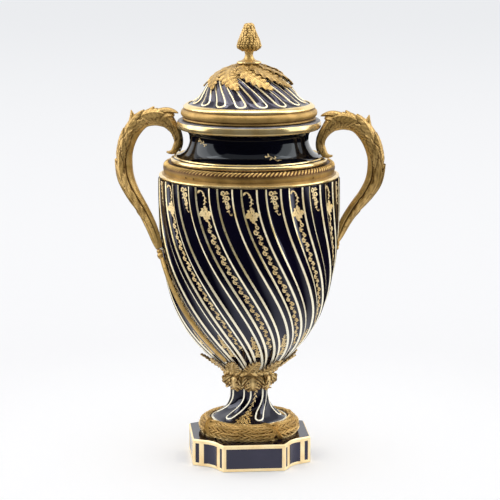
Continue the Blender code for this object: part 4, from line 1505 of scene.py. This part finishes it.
def makeBars(name, bars, sides, relief):
    # Closed bars in one piece, each with its ends filled
    points, faces, hollows, count = [], [], [], 0
    angles = ((np.arange(sides) + 0.5) * 360.0 / sides + 180.0) % 360.0 - 180.0
    for bar in bars:
        share, angle = np.meshgrid(bar.share, angles, indexing="ij")
        lift, hollow = relief(bar, share, angle)
        points.append(bar.at(share, angle, lift).reshape(-1, 3))
        hollows.append(hollow.ravel())
        for i in range(bar.count - 1):
            here, there = count + i * sides, count + (i + 1) * sides
            for k in range(sides):
                after = (k + 1) % sides
                faces.append((here + k, here + after, there + after, there + k))
        for end in (count, count + (bar.count - 1) * sides):
            faces.append(tuple(end + k for k in range(sides)))
        count += bar.count * sides
    return meshPiece(name, np.concatenate(points), faces, np.concatenate(hollows), bronze)


def makeHandle(side, turn, node):
    bar = SweptBar(handle["stations"], turn, handle["steps"])
    settle(makeBars("scroll" + side, [bar], handle["sides"], shaftRelief), "gilt_bronze", node)
    run = np.linspace(*np.array(handle["strapRun"]), 16).tolist()
    strap = []
    for height, wide, thick in handle["strapBeads"] + run:
        radius = float(bodySkin.outline(bodySkin.walkAtHeight(height))[0]) + 0.5 + thick
        strap.append((radius, height, float(bodyTwist(radius, height)), thick, wide))
    settle(makeBars("strap" + side, [SweptBar(strap, turn, 3)], 20, plainRelief), "gilt_bronze")
    spurs = [SweptBar([(r, z, handle["azimuth"], wide, thick) for r, z, wide, thick in spur], turn, 5)
             for spur in handle["spurs"]]
    settle(makeBars("spurs" + side, spurs, 14, spurRelief), "gilt_bronze")
    leaf = bar.leaf(np.linspace(*handle["lipReach"], 14), 0.0, 0.5, handle["lip"])
    settle(layLeaves("toothedLeaf" + side, [leaf], bronze, thickness=0.9), "gilt_bronze")


makeHandle("Right", 0.0, "handle_right")
makeHandle("Left", 180.0, "handle_left")


# Gilt ornament on the porcelain: scrolls, bunches of small flowers and trailing garlands
garland = {
    "pitch": 5.9, "sway": 1.5, "flower": 1.52, "line": 0.34815, "lineLeast": 0.14, "lift": 0.30,
    # Scroll at the top of a flute: its vine, and its leaves as across, along and angle
    "scroll": [
        (-5.6, 6.0), (-5.4, 4.2), (-3.8, 3.2), (-1.4, 3.8), (0.6, 5.8), (1.6, 9.0), (1.6, 13.0),
        (0.8, 17.0)],
    "scrollLeaves": [
        (-3.6, 3.4, 120.0), (-0.6, 4.6, 80.0), (1.4, 7.4, 150.0), (1.8, 9.6, 40.0), (1.6, 12.0, 140.0),
        (1.6, 13.6, 30.0), (1.0, 16.0, 150.0)],
    # Bunch of flowers: across, along and size
    "bunch": [
        (0.2, 0.0, 2.0), (-3.2, -0.8, 1.6), (3.3, 0.6, 1.6), (-5.6, 1.2, 1.2), (5.7, -0.9, 1.1),
        (1.0, -3.5, 1.5), (-1.6, 3.3, 1.5), (2.1, 3.6, 1.4), (0.5, -6.6, 1.1), (-0.5, 6.7, 1.3),
        (1.2, 9.2, 0.9), (-2.6, -4.1, 1.0)],
    # Small garland: its blooms as across, along and size, its stem and the curl at its end
    "blooms": [
        (-2.2, 0.0, 1.75), (1.9, -0.8, 1.1), (-0.8, 4.3, 1.2), (2.2, 4.6, 1.65), (-1.0, 7.6, 0.9),
        (1.0, 9.8, 1.6), (3.2, 12.8, 0.9), (0.6, 14.4, 1.25), (1.9, 17.8, 0.8)],
    "stem": [(0.3, -1.0), (0.3, 3.0), (0.3, 7.0), (0.3, 11.0), (0.3, 15.0)],
    "curl": [(1.4, 17.6), (1.7, 20.2), (2.9, 22.2), (4.3, 21.8), (4.4, 20.4)],
    # Heights where the bunch sits, the long garland starts and ends, and the lowest small garland starts
    "bunchAt": 275.0, "chain": (262.0, 124.0), "smallAt": 119.0,
    # Leaves between the flowers of a long garland: across, share of the pitch, lean, length and half width
    "chainLeaves": [(-0.5, 0.4, 60.0, 2.4, 0.55), (0.3, 0.75, -55.0, 2.1, 0.5)],
}


def addFlower(items, start, across, along, size):
    # A small open flower: a ring of gilding round a dark eye, with a notch of petals
    t = np.linspace(0.0, 2.0 * math.pi, 10, endpoint=False)
    items.append(stroke(
        start, across + size * (1.0 + 0.14 * np.cos(5.0 * t)) * np.cos(t), along + 1.12 * size * np.sin(t),
        garland["line"] * size + garland["lineLeast"], garland["lift"], ring=True))


def addPetal(items, start, across, along, angle, long, half):
    t = np.linspace(0.0, 1.0, 4)
    turn = math.radians(angle)
    items.append(stroke(
        start, across + math.cos(turn) * long * t, along + math.sin(turn) * long * t,
        half * np.sin(np.pi * (0.12 + 0.8 * t)), garland["lift"]))


def addVine(items, start, spots, half):
    items.append(stroke(start, *smoothRows(spots, 3).T, half, garland["lift"]))


def addChain(items, start, first, last, sizeAt, phase):
    # A thin vine that sways, with an open flower at each turn and small leaves between
    step = garland["pitch"]
    vine = []
    for i in range(int((last - first) / step)):
        along = first + i * step
        way = -1.0 if i % 2 else 1.0
        size = sizeAt(along) * (1.0 + 0.16 * math.sin(1.7 * i + phase))
        sway = way * garland["sway"] * size
        vine += [(sway, along), (0.0, along + step / 2.0)]
        addFlower(items, start, sway, along, garland["flower"] * size)
        for across, below, lean, long, half in garland["chainLeaves"]:
            place = way * across * size, along + below * step
            addPetal(items, start, *place, 90.0 + lean * way, long * size, half * size)
    addVine(items, start, vine, 0.3)


def addBunch(items, start, along):
    # A close bunch of flowers and leaves, broad in its middle
    for across, below, size in garland["bunch"]:
        addFlower(items, start, across, along + below, size)
        addFlower(items, start, across, along + below, size * 0.42)
    for angle in np.arange(12.0, 372.0, 36.0):
        turn = math.radians(angle)
        addPetal(items, start, 3.0 * math.cos(turn), along + 4.0 * math.sin(turn), angle, 3.2, 0.85)


def addSmallGarland(items, start, along, way, size):
    # Flowers to either side of a stem that dwindle to a curl; way is -1 where it climbs
    for step, (across, reach, bloom) in enumerate(garland["blooms"]):
        place = across * size, along + way * reach * size
        addFlower(items, start, *place, bloom * size)
        addPetal(items, start, *place, 90.0 * way + 70.0 * (-1.0) ** step, 2.8 * size, 0.65 * size)
    for part, half in (("stem", 0.22), ("curl", 0.42)):
        spots = [(across * size, along + way * reach * size) for across, reach in garland[part]]
        addVine(items, start, spots, half)


def makeBodyGilding():
    items = []
    bunchAt, first, last, smallAt = (
        float(bodySkin.longAt(bodySkin.walkAtHeight(height)))
        for height in (garland["bunchAt"], *garland["chain"], garland["smallAt"]))

    def sizeAt(along):
        walk = np.interp(along, bodySkin.long, bodySkin.walk)
        return float((bodySkin.outline(walk)[0] / bodyRadius) ** 0.7)

    for i in range(body["flutes"]):
        start = (360.0 * i / body["flutes"] - 90.0, 0.0)
        if i % 2 == 0:
            addVine(items, start, garland["scroll"], 0.62)
            for across, along, angle in garland["scrollLeaves"]:
                addPetal(items, start, across, along, angle, 2.3, 0.75)
            addBunch(items, start, bunchAt + 0.6)
            addChain(items, start, first, last, sizeAt, 1.3 * i)
        else:
            addSmallGarland(items, start, 4.6, 1.0, 1.0)
            addSmallGarland(items, start, smallAt, -1.0, 0.72)
            addSmallGarland(items, start, smallAt - 15.0, -1.0, 0.80)
    settle(layStrokes("bodyGilding", items, bodySkin, giltRelief), "blue_porcelain")


makeBodyGilding()


# Gilt in every second hollow of the foot, with lengths measured down the hollow
footGilt = {
    # Thin garland: flowers, start, pitch, middle, size of flower, length and half width of leaf
    "flowers": 12, "start": 9.0, "pitch": 2.6, "middle": -1.6, "flower": 0.75, "leaf": (1.7, 0.42),
    # Palm: rings, start, pitch, spacing across, length and half width of leaf
    "rings": 12, "palmStart": 32.0, "ringPitch": 2.1, "spacing": 2.0, "palmLeaf": (2.9, 0.85),
}


def makeFootGilding():
    # A mottled palm spreads over the flare under a thin garland
    thin, palm = [], []
    for i in range(0, foot["ribs"], 2):
        start = (foot["offset"] + 360.0 / foot["ribs"] * (i + 0.5), 0.0)
        for step in range(footGilt["flowers"]):
            along = footGilt["start"] + footGilt["pitch"] * step
            way = -1.0 if step % 2 else 1.0
            addFlower(thin, start, footGilt["middle"] + way * 0.6, along, footGilt["flower"])
            place = footGilt["middle"] + way * 1.1, along + 0.6
            addPetal(thin, start, *place, 90.0 - 50.0 * way, *footGilt["leaf"])
        for ring in range(footGilt["rings"]):
            spread = 1 + ring // 3
            for k in range(-spread, spread + 1):
                stray = math.sin(3.7 * ring + 2.9 * k)
                across = footGilt["spacing"] * k + 0.9 * (ring % 2) - 0.4 + 0.5 * stray
                along = footGilt["palmStart"] + footGilt["ringPitch"] * ring + 0.6 * stray
                angle = 90.0 - 12.0 * k + 34.0 * stray
                addPetal(palm, start, across, along, angle, *footGilt["palmLeaf"])
    settle(layStrokes("footGarland", thin, footSkin, giltRelief), "blue_porcelain")
    settle(layStrokes("footPalm", palm, footSkin, bronze), "blue_porcelain")


makeFootGilding()


def makeNeckSprigs():
    # Thin curled sprigs round the waist of the neck
    skin = TurnedSurface(smoothRows(neck["sprigRows"], 5))
    items = []
    for azimuth, height, tilt, size in neck["sprigs"]:
        start = (azimuth, float(skin.longAt(skin.walkAtHeight(height))))
        cos, sin = size * math.cos(math.radians(tilt)), size * math.sin(math.radians(tilt))

        def turned(across, along):
            return across * cos - along * sin, across * sin + along * cos

        wave = [turned(9.0 * t, 1.1 * math.sin(4.6 * t)) for t in np.linspace(-1.0, 1.0, 9)]
        addVine(items, start, wave, 0.3)
        for middle, way in neck["curls"]:
            curl = [turned(middle + 1.9 * t * math.cos(4.4 * t), way * (0.4 + 2.6 * math.sin(2.2 * t)))
                    for t in np.linspace(0.0, 1.0, 7)]
            addVine(items, start, curl, 0.3)
            place = turned(middle - 1.2, way * 0.3)
            addPetal(items, start, *place, tilt + way * 60.0, 2.2 * size, 0.42 * size)
        addFlower(items, start, *turned(-8.4, 1.0), 0.8 * size)
    settle(layStrokes("neckSprigs", items, skin, giltRelief), "blue_porcelain")


makeNeckSprigs()
